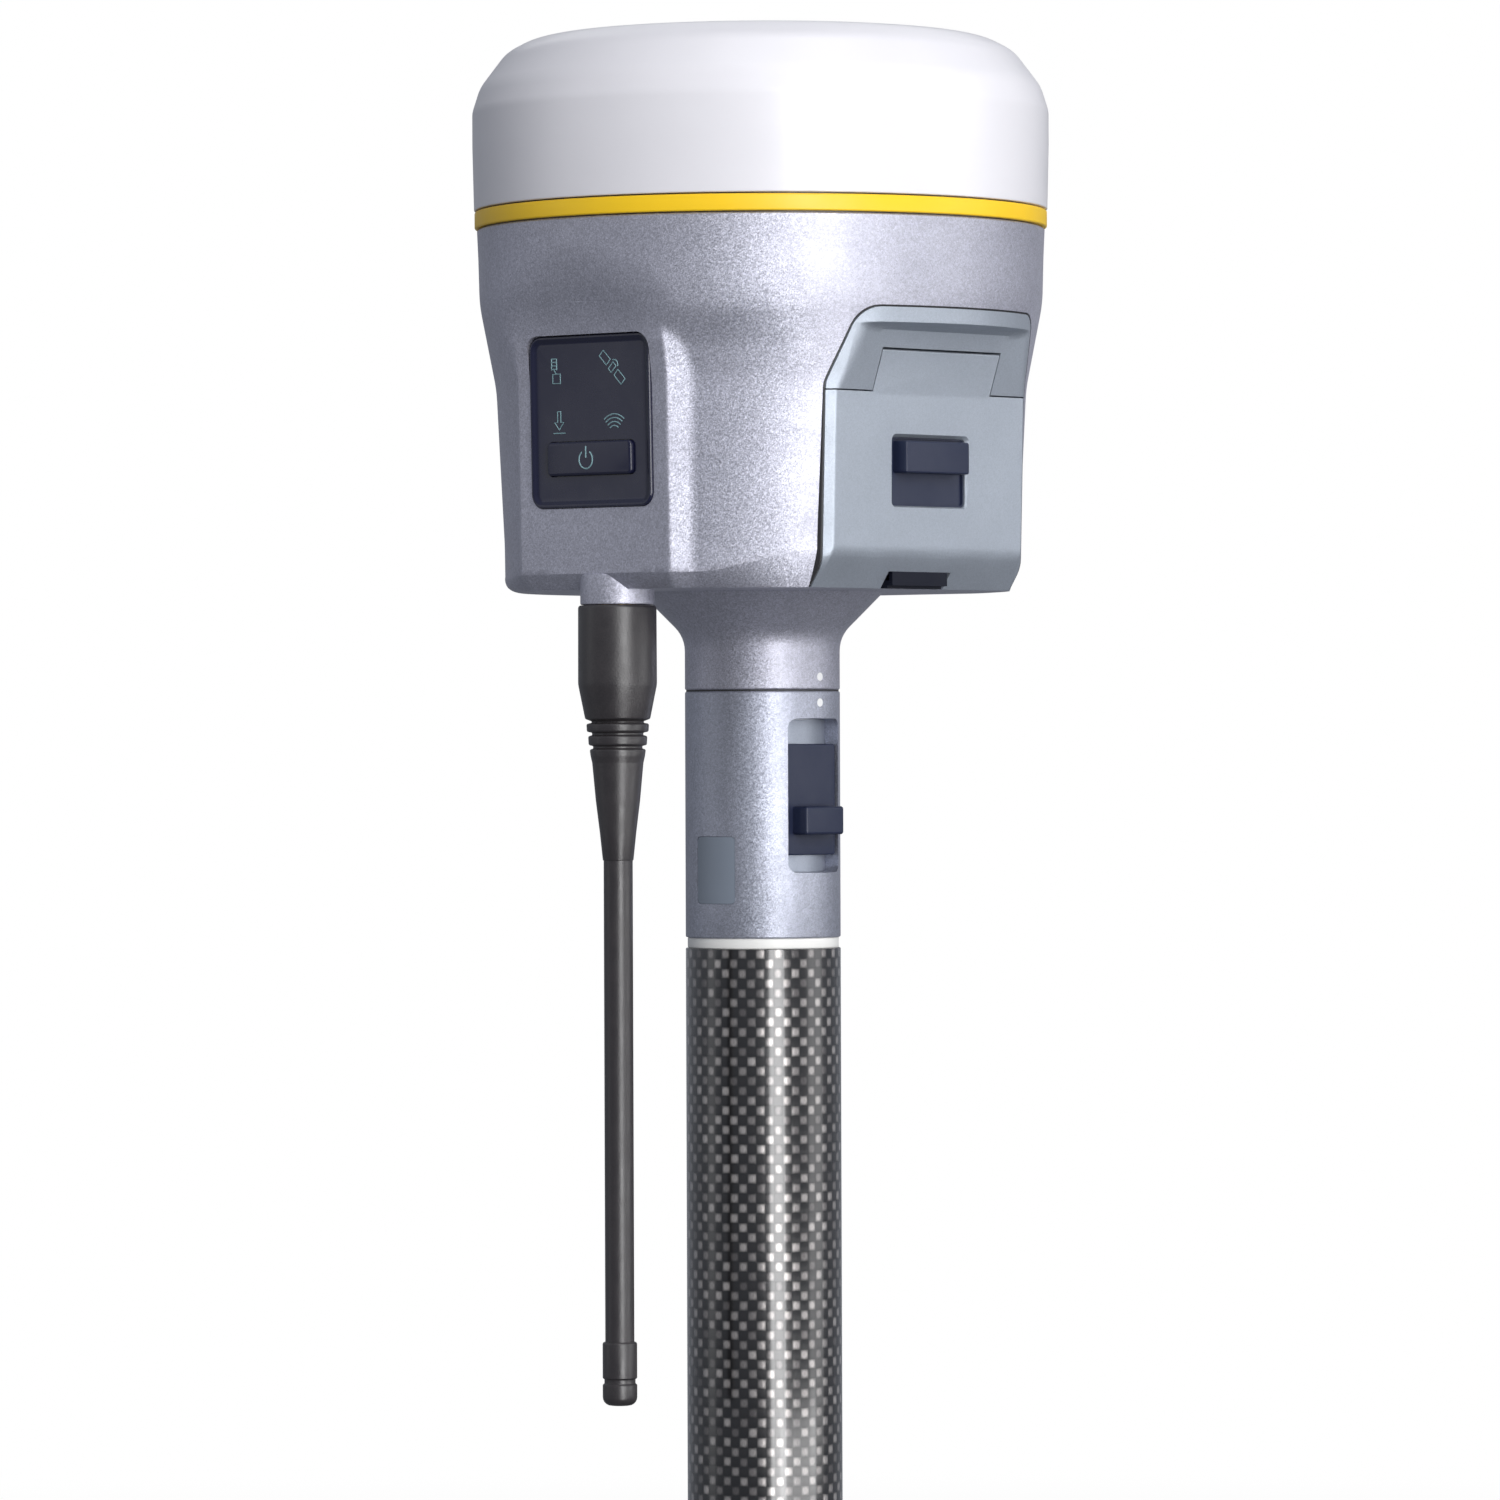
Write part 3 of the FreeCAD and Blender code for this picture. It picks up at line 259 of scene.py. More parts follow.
def smooth_min(a, b, blend):
    """The lower of two values, rounded over a width of blend where they cross."""
    mix = np.clip(0.5 + 0.5 * (b - a) / blend, 0, 1)
    return b * (1 - mix) + a * mix - blend * mix * (1 - mix)


def smooth_max(a, b, blend):
    """The higher of two values, rounded where they cross."""
    return -smooth_min(-a, -b, blend)


def smooth_step(value):
    """A soft step from 0 to 1 while the value goes from 0 to 1."""
    value = np.clip(value, 0, 1)
    return value * value * (3 - 2 * value)


def height_profile(corners):
    """A radius that depends on the height, from (radius, height, rounding) corners."""
    path = rounded_path(corners, closed=False, steps=8)
    heights = np.array([point[1] for point in path])
    radii = np.array([point[0] for point in path])
    return lambda z: np.interp(z, heights, radii)


def slab(name, across, heights, front, back):
    """A closed solid over a grid of (y, z) with a shaped front and a flat back."""
    rows, columns = len(heights), len(across)
    y, z = np.meshgrid(across, heights)
    x = front(y, z)
    verts = [(x[r, c], y[r, c], z[r, c]) for r in range(rows) for c in range(columns)]
    verts += [(back, y[r, c], z[r, c]) for r in range(rows) for c in range(columns)]
    base = rows * columns
    faces = []
    for r in range(rows - 1):
        for c in range(columns - 1):
            a = r * columns + c
            faces.append((a, a + 1, a + columns + 1, a + columns))
            faces.append((base + a, base + a + columns, base + a + columns + 1, base + a + 1))
    rim = [r * columns for r in range(rows)] + [(rows - 1) * columns + c for c in range(1, columns)]
    rim += [r * columns + columns - 1 for r in range(rows - 2, -1, -1)]
    rim += [c for c in range(columns - 2, 0, -1)]
    for a, b in zip(rim, rim[1:] + rim[:1]):
        faces.append((a, b, base + b, base + a))
    return mesh_object(name, verts, faces)


def tubes(name, paths, radius, place):
    """Round strokes along paths as one mesh."""
    curve = bpy.data.curves.new(name, "CURVE")
    curve.dimensions = "3D"
    curve.bevel_depth = radius * MM
    curve.bevel_resolution = 2
    curve.use_fill_caps = True
    for path, cyclic in paths:
        spline = curve.splines.new("POLY")
        spline.points.add(len(path) - 1)
        for point, target in zip(path, spline.points):
            x, y, z = place(*point)
            target.co = (x * MM, y * MM, (z + SEAM) * MM, 1)
        spline.use_cyclic_u = cyclic
    source = new_object(name + "_curve", curve)
    graph = bpy.context.evaluated_depsgraph_get()
    mesh = bpy.data.meshes.new_from_object(source.evaluated_get(graph))
    mesh.name = name
    bpy.data.objects.remove(source)
    piece = new_object(name, mesh)
    tidy_normals(piece, 50)
    return piece


def piece_of(piece, body, slot, material, *nodes):
    """Give a piece its material, its body and the CAD nodes that it stands for."""
    piece.data.materials.clear()
    piece.data.materials.append(material)
    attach(piece, body)
    if nodes:
        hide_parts(*nodes)
    return piece


# ---- materials


def add_node(tree, kind, inputs, **settings):
    """A new node; inputs are values or output sockets; returns its outputs."""
    node = tree.nodes.new(kind)
    for key, value in settings.items():
        setattr(node, key, value)
    for key, value in inputs.items():
        if isinstance(value, bpy.types.NodeSocket):
            tree.links.new(value, node.inputs[key])
        else:
            node.inputs[key].default_value = value
    return node.outputs


class Shader:
    """A small helper for node materials with one Principled shader."""

    def __init__(self, name, **values):
        self.material = bpy.data.materials.new(name)
        self.material.use_nodes = True
        self.tree = self.material.node_tree
        self.surface = self.tree.nodes["Principled BSDF"]
        for socket, value in values.items():
            self.surface.inputs[socket.replace("_", " ")].default_value = value
        self.coords = self.add("ShaderNodeTexCoord", {})["Object"]

    def add(self, kind, inputs, **settings):
        return add_node(self.tree, kind, inputs, **settings)

    def drive(self, socket, value):
        """Link an output to an input of the Principled shader."""
        self.tree.links.new(value, self.surface.inputs[socket])

    def noise(self, size_mm, detail, roughness=0.5, vector=None):
        return self.add("ShaderNodeTexNoise", {"Vector": vector or self.coords, "Scale": 1000.0 / size_mm,
                                               "Detail": detail, "Roughness": roughness})

    def cells(self, size_mm, **settings):
        inputs = {"Vector": self.coords, "Scale": 1000.0 / size_mm}
        return self.add("ShaderNodeTexVoronoi", inputs, **settings)

    def remap(self, value, low, high, to_low, to_high):
        return self.add("ShaderNodeMapRange", {"Value": value, "From Min": low, "From Max": high,
                                               "To Min": to_low, "To Max": to_high})["Result"]

    def maths(self, operation, first, second=0.0, third=0.0):
        return self.add("ShaderNodeMath", {0: first, 1: second, 2: third}, operation=operation)["Value"]

    def vector_maths(self, operation, inputs):
        return self.add("ShaderNodeVectorMath", inputs, operation=operation)["Vector"]

    def blend(self, factor, first, second, mode="MIX"):
        """Mix two colours."""
        inputs = {0: factor, 6: first, 7: second}
        return self.add("ShaderNodeMix", inputs, data_type="RGBA", blend_type=mode)[2]

    def pick(self, factor, first, second):
        """Mix two numbers."""
        return self.add("ShaderNodeMix", {0: factor, 2: first, 3: second}, data_type="FLOAT")[0]

    def bump(self, height, distance_mm, strength=1.0, normal=None):
        inputs = {"Height": height, "Distance": distance_mm * MM, "Strength": strength}
        if normal is not None:
            inputs["Normal"] = normal
        return self.add("ShaderNodeBump", inputs)["Normal"]


def shade(red, green, blue):
    """A colour given as it looks on a screen, 0 to 255."""
    values = []
    for part in (red, green, blue):
        part /= 255
        values.append(part / 12.92 if part <= 0.04045 else ((part + 0.055) / 1.055) ** 2.4)
    return (*values, 1.0)


def moulded_plastic(name, colour, roughness, grain_mm, grain_depth, dust, coat=0.0, shine=0.5):
    """Moulded plastic: fine grain, faint mottling, handling marks in the roughness."""
    s = Shader(name, Roughness=roughness, Coat_Weight=coat, Coat_Roughness=0.12, Specular_IOR_Level=shine)
    mottle = s.noise(14, 4)["Fac"]
    grain = s.noise(grain_mm, 2)["Fac"]
    dusty = tuple(c * (1 - dust * 2) for c in colour[:3]) + (1,)
    tone = s.blend(s.remap(mottle, 0.3, 0.7, 0, 1), colour, dusty)
    tone = s.blend(s.remap(grain, 0.3, 0.7, 0, dust * 2), tone, (0.5, 0.5, 0.5, 1), "OVERLAY")
    s.drive("Base Color", tone)
    smears = s.noise(6, 5, 0.65)["Fac"]
    s.drive("Roughness", s.remap(smears, 0.3, 0.75, roughness - 0.05, roughness + 0.08))
    s.drive("Normal", s.bump(grain, grain_depth))
    return s.material


def metallic_paint(name, colour, flake_mm, metallic, roughness, spread, contrast):
    """Sprayed metallic paint: each flake has its own brightness and tilt, under a thin lacquer."""
    s = Shader(name, Metallic=metallic, Roughness=roughness, Coat_Weight=0.25, Coat_Roughness=0.3)
    flakes = s.cells(flake_mm)["Color"]
    coarse = s.cells(flake_mm * 2.3)["Color"]
    value = s.add("ShaderNodeSeparateColor", {"Color": flakes})["Red"]
    second = s.add("ShaderNodeSeparateColor", {"Color": coarse})["Green"]
    bright = s.maths("MULTIPLY_ADD", value, contrast, 1 - contrast / 2)
    bright = s.maths("MULTIPLY", bright, s.maths("MULTIPLY_ADD", second, contrast * 0.6, 1 - contrast * 0.3))
    cloud = s.remap(s.noise(22, 3)["Fac"], 0.3, 0.7, 0.96, 1.04)
    bright = s.maths("MULTIPLY", bright, cloud)
    grey = s.add("ShaderNodeCombineColor", {"Red": bright, "Green": bright, "Blue": bright})["Color"]
    s.drive("Base Color", s.blend(1.0, colour, grey, "MULTIPLY"))
    s.drive("Roughness", s.remap(s.noise(9, 4)["Fac"], 0.3, 0.7, roughness - 0.04, roughness + 0.05))
    centred = s.vector_maths("SUBTRACT", {0: flakes, 1: (0.5, 0.5, 0.5)})
    tilt = s.vector_maths("SCALE", {0: centred, "Scale": spread})
    peel = s.bump(s.noise(1.1, 2)["Fac"], 0.03)
    leaning = s.vector_maths("ADD", {0: peel, 1: tilt})
    s.drive("Normal", s.vector_maths("NORMALIZE", {0: leaning}))
    return s.material


def carbon_weave(name, columns, row_mm):
    """Clear-coated plain weave: tows go over and under round the tube."""
    s = Shader(name, Roughness=0.3, Coat_Weight=1.0, Coat_Roughness=0.12, Coat_IOR=1.6)
    parts = s.add("ShaderNodeSeparateXYZ", {"Vector": s.coords})
    angle = s.maths("ARCTAN2", parts["Y"], parts["X"])
    wobble = s.maths("MULTIPLY_ADD", s.noise(9, 2)["Fac"], 0.25, -0.125)
    across = s.maths("ADD", s.maths("MULTIPLY", angle, columns / (2 * pi)), wobble)
    along = s.maths("ADD", s.maths("DIVIDE", parts["Z"], row_mm * MM), wobble)
    column, row = s.maths("FLOOR", across), s.maths("FLOOR", along)
    parity = s.maths("MODULO", s.maths("ABSOLUTE", s.maths("ADD", column, row)), 2.0)
    over = s.maths("LESS_THAN", parity, 0.5)
    crowns = []
    for value in (across, along):
        from_middle = s.maths("ABSOLUTE", s.maths("SUBTRACT", s.maths("FRACT", value), 0.5))
        crowns.append(s.maths("COSINE", s.maths("MULTIPLY", from_middle, pi)))
    tow = s.pick(over, crowns[1], crowns[0])
    edge = s.maths("MULTIPLY", *crowns)
    place = s.add("ShaderNodeCombineXYZ", {"X": column, "Y": row, "Z": 0.0})["Vector"]
    chance = s.add("ShaderNodeTexWhiteNoise", {"Vector": place}, noise_dimensions="3D")["Value"]
    fibres = []
    for density_a, density_b in ((26.0, 1.5), (1.5, 26.0)):
        x, z = s.maths("MULTIPLY", across, density_a), s.maths("MULTIPLY", along, density_b)
        stretched = s.add("ShaderNodeCombineXYZ", {"X": x, "Y": 0.0, "Z": z})["Vector"]
        fibres.append(s.noise(1000.0, 2.0, vector=stretched)["Fac"])
    fibre = s.pick(over, fibres[1], fibres[0])
    # The over tows are painted light grey and the under tows near black: the light grey is painted sheen of
    # fibres that catch the light, and it fades to near black at each tow's edge.
    light = s.blend(chance, shade(92, 88, 88), shade(190, 184, 181))
    dark = s.blend(chance, shade(7, 6, 7), shade(24, 21, 22))
    tone = s.blend(over, dark, light)
    tone = s.blend(s.remap(edge, 0.0, 0.7, 0.92, 0.0), tone, shade(9, 8, 9))
    tone = s.blend(s.remap(fibre, 0.35, 0.65, 0.0, 0.35), tone, shade(30, 29, 31))
    s.drive("Base Color", tone)
    s.drive("Metallic", s.remap(over, 0, 1, 0.15, 0.5))
    s.drive("Normal", s.bump(tow, 0.08, 0.8, s.bump(fibre, 0.02, 0.6)))
    return s.material


def moulded_rubber(name, colour, roughness):
    """Rubber: dull, faintly dusty, with a fine tooth."""
    s = Shader(name, Roughness=roughness, Sheen_Weight=0.03, Specular_IOR_Level=0.8)
    tooth = s.noise(0.4, 3)["Fac"]
    dust = s.noise(5, 5, 0.7)["Fac"]
    tone = s.blend(s.remap(dust, 0.45, 0.8, 0, 0.3), colour, shade(66, 60, 61))
    tone = s.blend(s.remap(tooth, 0.3, 0.7, 0, 0.25), tone, (0.0, 0.0, 0.0, 1))
    s.drive("Base Color", tone)
    s.drive("Roughness", s.remap(dust, 0.3, 0.8, roughness - 0.08, roughness + 0.1))
    s.drive("Normal", s.bump(tooth, 0.03))
    return s.material


def worked_metal(name, colour, roughness, lathe_marks=False):
    """Bare metal with fine tool marks: brushed, or turned on a lathe."""
    s = Shader(name, Metallic=1.0, Roughness=roughness)
    stretch = (1, 1, 40) if lathe_marks else (30, 1, 1)
    stretched = s.add("ShaderNodeMapping", {"Vector": s.coords, "Scale": stretch})["Vector"]
    marks = s.noise(2.0, 4, 0.6, stretched)["Fac"]
    stain = s.noise(7, 4)["Fac"]
    dull = tuple(c * 0.72 for c in colour[:3]) + (1,)
    s.drive("Base Color", s.blend(s.remap(stain, 0.35, 0.75, 0, 1), colour, dull))
    s.drive("Roughness", s.remap(marks, 0.3, 0.7, roughness - 0.07, roughness + 0.12))
    s.drive("Normal", s.bump(marks, 0.01, 0.5))
    return s.material


def circuit_board(name):
    """Solder mask with copper traces and pads under it."""
    s = Shader(name, Roughness=0.35, Coat_Weight=0.4, Coat_Roughness=0.15)
    traces = s.cells(2.2, feature="DISTANCE_TO_EDGE")["Distance"]
    pads = s.cells(1.5)["Distance"]
    line = s.remap(traces, 0.03, 0.06, 1.0, 0.0)
    tone = s.blend(line, shade(18, 78, 44), shade(40, 122, 70))
    tone = s.blend(s.remap(pads, 0.10, 0.13, 1.0, 0.0), tone, shade(196, 176, 120))
    s.drive("Base Color", tone)
    s.drive("Normal", s.bump(line, 0.03))
    return s.material


def floor_white(name):
    """Pale studio floor that turns into the white surround far from the object."""
    s = Shader(name, Roughness=0.55)
    s.drive("Base Color", s.blend(s.noise(60, 4)["Fac"], (0.86, 0.86, 0.87, 1), (0.89, 0.89, 0.90, 1)))
    distance = s.add("ShaderNodeVectorMath", {0: s.coords}, operation="LENGTH")["Value"]
    far = s.add("ShaderNodeMapRange", {"Value": distance, "From Min": 0.3, "From Max": 1.6},
                interpolation_type="SMOOTHSTEP")["Result"]
    glow = s.add("ShaderNodeEmission", {"Color": (1, 1, 1, 1), "Strength": 1.0})["Emission"]
    mixed = s.add("ShaderNodeMixShader", {0: far, 1: s.surface.outputs["BSDF"], 2: glow})["Shader"]
    s.tree.links.new(mixed, s.tree.nodes["Material Output"].inputs["Surface"])
    return s.material


RADOME = moulded_plastic("radome_plastic", shade(233, 231, 235), 0.34, 0.5, 0.006, 0.01, coat=0.15)
YELLOW = moulded_plastic("yellow_plastic", shade(255, 208, 30), 0.4, 0.4, 0.008, 0.02)
PAINT = metallic_paint("metallic_paint", shade(192, 192, 204), 0.18, 0.85, 0.55, 0.2, 0.32)
SLEEVE_PAINT = metallic_paint("sleeve_paint", shade(178, 181, 194), 0.19, 0.85, 0.52, 0.18, 0.3)
COVER = metallic_paint("cover_plastic", shade(172, 179, 189), 0.14, 0.7, 0.52, 0.1, 0.12)
NAVY = moulded_plastic("navy_plastic", shade(28, 36, 62), 0.42, 0.3, 0.012, 0.012)
NAVY_GLOSS = moulded_plastic("navy_gloss", shade(24, 26, 52), 0.28, 0.6, 0.003, 0.004, coat=0.4, shine=0.36)
KEEPER = moulded_plastic("keeper_plastic", shade(17, 20, 34), 0.5, 0.3, 0.012, 0.01, shine=0.22)
ICON = moulded_plastic("icon_print", shade(132, 166, 172), 0.4, 0.3, 0.004, 0.03)
WHITE_PRINT = moulded_plastic("white_print", shade(240, 240, 240), 0.4, 0.3, 0.004, 0.02)
BAND = moulded_plastic("band_plastic", shade(242, 241, 237), 0.4, 0.4, 0.01, 0.03)
PATCH = moulded_plastic("patch_plastic", shade(128, 137, 150), 0.5, 0.3, 0.012, 0.03)
FLOOR_TRACK = metallic_paint("track_finish", shade(158, 164, 176), 0.12, 0.7, 0.5, 0.08, 0.1)
PACK = moulded_plastic("pack_plastic", shade(52, 53, 58), 0.5, 0.4, 0.03, 0.04)
CARBON = carbon_weave("carbon_weave", 54, 2.0)
RUBBER = moulded_rubber("black_rubber", shade(46, 42, 44), 0.4)
# Dark rubber for the beads in the seams: painted shadow that keeps the gaps dark.
SEAM_SHADOW_RUBBER = moulded_rubber("seam_shadow_rubber", shade(34, 33, 36), 0.6)
STEEL = worked_metal("brushed_steel", shade(196, 197, 200), 0.32)
ALUMINIUM = worked_metal("turned_aluminium", shade(206, 208, 212), 0.34, lathe_marks=True)
BRASS = worked_metal("plated_brass", shade(214, 180, 104), 0.28, lathe_marks=True)
TIN = worked_metal("tinned_can", shade(190, 192, 194), 0.38)
BOARD = circuit_board("circuit_board")
CERAMIC = moulded_plastic("ceramic", shade(214, 205, 188), 0.6, 0.5, 0.02, 0.05)

# ---- radome, ring and gaskets


def radome():
    """The white dome, a shell of even thickness."""
    wall = 2.4
    outer = [(59.2, RING_HIGH + 0.3, 0.3), (59.5, 112.0, 30), (59.5, 119.2, 5.5), (57.9, 124.2, 9),
             (52.6, 131.2, 8), (47.0, 134.2, 14), (30.0, 134.8, 60), (0, CROWN_TOP, 0)]
    inner = [(0, CROWN_TOP - wall, 0), (46.0, 131.6, 10), (55.2, 123.6, 8), (57.1, 117.5, 5),
             (56.8, RING_HIGH + 0.3, 0.3)]
    loop = rounded_path(outer + inner, steps=10)
    piece_of(lathe("radome_shell", loop, segments=256), "receiver", "radome", RADOME, "radome")


def accent_ring():
    """The yellow ring under the dome."""
    radius, bore = reach("accent_ring", 0, 1), 50.6
    loop = rounded_path([(radius, RING_LOW, 0.35), (radius, RING_HIGH, 0.35), (bore, RING_HIGH, 0.1),
                         (bore, RING_LOW, 0.1)], steps=4)
    piece_of(lathe("yellow_ring", loop, segments=256), "receiver", "yellow", YELLOW, "accent_ring")


# ---- lower housing

# Radius of the round wall and distance of the keypad's flat face, by height.
ROUND = height_profile([(52.9, 14.0, 0), (53.1, 30.0, 60), (54.7, 62.0, 30), (58.1, 79.5, 30),
                        (58.35, 89.0, 30), (58.7, RIM_TOP + 2, 0)])
FRONT = height_profile([(50.0, 14.0, 0), (51.05, 64.0, 60), (53.2, 75.0, 60), (58.6, 86.0, 30), (64, 94, 0)])
KEYPAD_SIDE = -pi / 2
PORT_SIDE = pi / 2
# The keypad's boss: half its width, and the turn of the bevels beside it.
BOSS_HALF, BOSS_TURN = 20.6, radians(45)
# The hollow between the boss and the door: its middle, its reach to either side and its depths.
SCOOP_MIDDLE, SCOOP_TO_DOOR, SCOOP_TO_BOSS = radians(-63), radians(20), radians(9)
SCOOP_HEIGHTS = [20, 30, 50, 64, 69, 72, 76]
SCOOP_DEPTHS = [0.45, 0.5, 1.15, 1.75, 1.8, 1.1, 0.0]
# The flat face round the ports, and where it starts to run out into the round wall.
PORT_FACE, PORT_FACE_TOP, PORT_FACE_FADE = 49.6, 57.2, 9
LEDGE_LOW = 78
# Direction and distance of the flat inner walls, which end at the ledge.
INNER_WALLS = ((0, 40.0), (KEYPAD_SIDE, 46.6), (PORT_SIDE, 46.6))
INNER_LEVELS = (90.0, 84.0, 80.4, 78.01, 77.9, 70.0, 62.0, 50.0, 38.0, 26.0, FLOOR_INSIDE)
PORT_X, PORT_Z, VENT_AT = 9, 40, (-30, 20)
GAP = 0.4


def plane_radius(theta, normal, distance):
    """Distance from the axis to an upright plane along each direction."""
    facing = np.cos(theta - normal)
    return np.where(facing > 0.2, distance / np.maximum(facing, 0.2), 400.0)


def housing_radius(theta, z):
    """The outer surface of the lower housing, without the door's recess."""
    round_part = ROUND(z)
    beside = (theta - SCOOP_MIDDLE) / np.where(theta > SCOOP_MIDDLE, SCOOP_TO_DOOR, SCOOP_TO_BOSS)
    round_part = round_part - np.interp(z, SCOOP_HEIGHTS, SCOOP_DEPTHS) * np.exp(-beside ** 2)
    front = plane_radius(theta, KEYPAD_SIDE, FRONT(z))
    fade = PORT_FACE_FADE * smooth_step((z - PORT_FACE_TOP) / PORT_FACE_FADE)
    back = plane_radius(theta, PORT_SIDE, PORT_FACE + fade)
    boss = np.minimum(front, plane_radius(theta, PORT_SIDE, 10.0))
    for side in (1, -1):
        bevel = BOSS_HALF * sin(BOSS_TURN) + FRONT(z) * cos(BOSS_TURN)
        boss = smooth_min(boss, plane_radius(theta, KEYPAD_SIDE + side * BOSS_TURN, bevel), 0.45)
        boss = np.minimum(boss, plane_radius(theta, KEYPAD_SIDE + side * pi / 2, BOSS_HALF + 6))
    # Towards its top the boss sinks into the flaring wall.
    boss = boss - 4.0 * smooth_step((z - 70) / 7) - 30 * smooth_step((z - 76) / 4)
    body = smooth_min(round_part, front, 0.5 + 2.6 * smooth_step((z - 66) / 12))
    body = smooth_min(body, back, 0.6)
    return smooth_max(body, boss, 0.35)


def housing_foot(theta):
    """Height and depth of the chamfer round the housing's bottom edge."""
    door_side, fade = radians(62), radians(24)
    near_door = smooth_step((theta + door_side) / fade) * smooth_step((door_side - theta) / fade)
    return 3.2 + 4.2 * near_door, 3.0 - 1.1 * near_door


def foot_rounding(theta):
    """How far the bottom edge is rounded instead of chamfered: fully at the sides and the back."""
    fade = radians(14)
    after_boss = smooth_step((theta - radians(-128)) / fade)
    return 1 - after_boss * smooth_step((radians(75) - theta) / fade)


def housing_inner(theta, z):
    """The inner surface of the lower housing."""
    radius = ROUND(z) - WALL
    for normal, distance in INNER_WALLS:
        limited = np.minimum(radius, plane_radius(theta, normal, distance))
        radius = np.where(z < LEDGE_LOW, limited, radius)
    return radius


def sample_angles():
    """Directions round the housing, close together at the keypad boss's bevels."""
    bevels = ((-74, -58), (-122, -106))
    fine = np.concatenate([np.arange(low, high, 0.2) for low, high in bevels])
    keep = [a for a in np.arange(-180, 180, 1.5) if not any(low < a < high for low, high in bevels)]
    return np.radians(np.sort(np.concatenate([keep, fine])))


def housing_rows(theta):
    """Rings of (radius, height) from the neck's bore, over the outside and the rim, and down inside."""
    def level_ring(radius, z):
        return np.full_like(theta, radius), np.full_like(theta, z)

    flat = 30.0
    neck = rounded_path([(NECK_BORE, 0.0, 0.2), (NECK_RADIUS, 0.0, 0.4), (NECK_RADIUS, 10.9, 7.0),
                         (25.2, FLOOR, 1.2), (flat, FLOOR, 0)], closed=False)
    rows = [level_ring(radius, z) for radius, z in neck]
    foot_height, foot_depth = housing_foot(theta)
    edge = housing_radius(theta, FLOOR + foot_height)
    for share in (0.35, 0.7, 0.9, 1.0):
        rows.append((flat + (edge - foot_depth - flat) * share, np.full_like(theta, FLOOR)))
    for share in (0.03, 0.08, 0.16, 0.26, 0.38, 0.5, 0.64, 0.78, 0.9, 0.96):
        bulge = (0.2 + foot_rounding(theta) * 1.3) * sin(pi * share) ** 0.8
        rows.append((edge - foot_depth * (1 - share) + bulge * 0.6,
                     FLOOR + foot_height * share - bulge * 0.4))
    steps, rim_edge = 62, 0.25
    for step in range(steps + 1):
        z = FLOOR + foot_height + (RIM_TOP - rim_edge - FLOOR - foot_height) * (step / steps)
        rows.append((housing_radius(theta, z), z))
    top = np.full_like(theta, RIM_TOP)
    rim = housing_radius(theta, top)
    rows += [(rim - rim_edge, top), (rim - WALL, top)]
    for z in INNER_LEVELS:
        level = np.full_like(theta, z)
        rows.append((housing_inner(theta, level), level))
    return rows + [level_ring(flat, FLOOR_INSIDE), level_ring(NECK_BORE, FLOOR_INSIDE)]


def lower_housing():
    """The metallic housing with its neck, keypad boss and antenna stub."""
    theta = sample_angles()
    rows = housing_rows(theta)
    count = len(theta)
    verts = [(r * cos(a), r * sin(a), z) for radii, heights in rows
             for r, a, z in zip(radii, theta, heights)]
    faces = []
    for level in range(len(rows)):
        start, after = level * count, ((level + 1) % len(rows)) * count
        for step in range(count):
            following = (step + 1) % count
            faces.append((start + step, start + following, after + following, after + step))
    shell = mesh_object("housing_shell", verts, faces, 28)
    stub = rounded_path([(STUB_BORE, STUB_LOW, 0.1), (STUB_RADIUS, STUB_LOW, 0.3), (STUB_RADIUS, 23.4, 1.0),
                         (STUB_BORE, 23.4, 0)], steps=4)
    carve(shell, lathe("stub", stub, (0, WHIP_Y), 96), "UNION")
    carve(shell, prism("bore", circle(STUB_BORE, 0, WHIP_Y, 64), STUB_LOW - 1, 26.0, upright))
    cut_door_room(shell)
    carve(shell, prism("seat", round_rectangle(16.92, 17.55, 3.1), -2.0, 3.0,
                       lambda a, b, d: on_panel(a, b + 0.15, d)))
    for side in (1, -1):
        carve(shell, prism("port_hole", circle(5.15, side * PORT_X, PORT_Z), 44, 52, facing_y))
    carve(shell, bar("ears", 18.3, 1.85, 0.5, (0, 52.65), 47.2, 60, facing_y))
    carve(shell, prism("vent_hole", circle(4.1, *VENT_AT), FLOOR - 1, 25, upright))
    piece_of(shell, "receiver", "housing", PAINT, "lower_housing", "neck_collar")


def cut_door_room(shell):
    """The recess behind the door and its cover, the battery's mouth and the keeper's pocket."""
    side, outside = COVER_HALF + GAP, 75
    carve(shell, prism("recess", cover_outline(GAP, FLOOR - 2), 42.6, outside, facing_x))
    foot = [(40.3, FLOOR - 2), (40.35, FLOOR), (41.7, 24.4), (42.7, 28.7), (outside, 28.7),
            (outside, FLOOR - 2)]
    carve(shell, prism("recess_foot", foot, -side, side, facing_y))
    carve(shell, bar("mouth", 27, 13.65, 2, (0, 44.05), 36, 44, facing_x))
    carve(shell, bar("keeper_room", 8.6, 6.2, 0.4, (0, KEEPER_MID), 39.2, 46, facing_x))


COVER_HALF, COVER_SLANT, COVER_CROWN, COVER_TOP = 30.4, 61.2, 26.2, 76.3


def cover_outline(grow, low):
    """The seam round the hinge cover and the door, in (y, z)."""
    side, crown, top = COVER_HALF + grow, COVER_CROWN + grow, COVER_TOP + grow
    return rounded_path([(-side, low, 0), (side, low, 0), (side, COVER_SLANT, 3.0), (crown, top, 5.3),
                         (-crown, top, 5.3), (-side, COVER_SLANT, 3.0)])


# ---- battery door and hinge cover

# Slopes of the cover's and the door's faces, and the door's bevels.
COVER_LEAN, DOOR_LEAN = 0.341, 0.028
DOOR_CHAMFER, DOOR_CHAMFER_DEPTH = 6.9, 4.5
SIDE_BEVEL, SIDE_SLOPE = 1.65, 0.9
TAB_HALF, TAB_TOP, TAB_GAP = 17.9, 68.0, 0.25
WINDOW_MID, KEEPER_MID = 43.75, 25.2


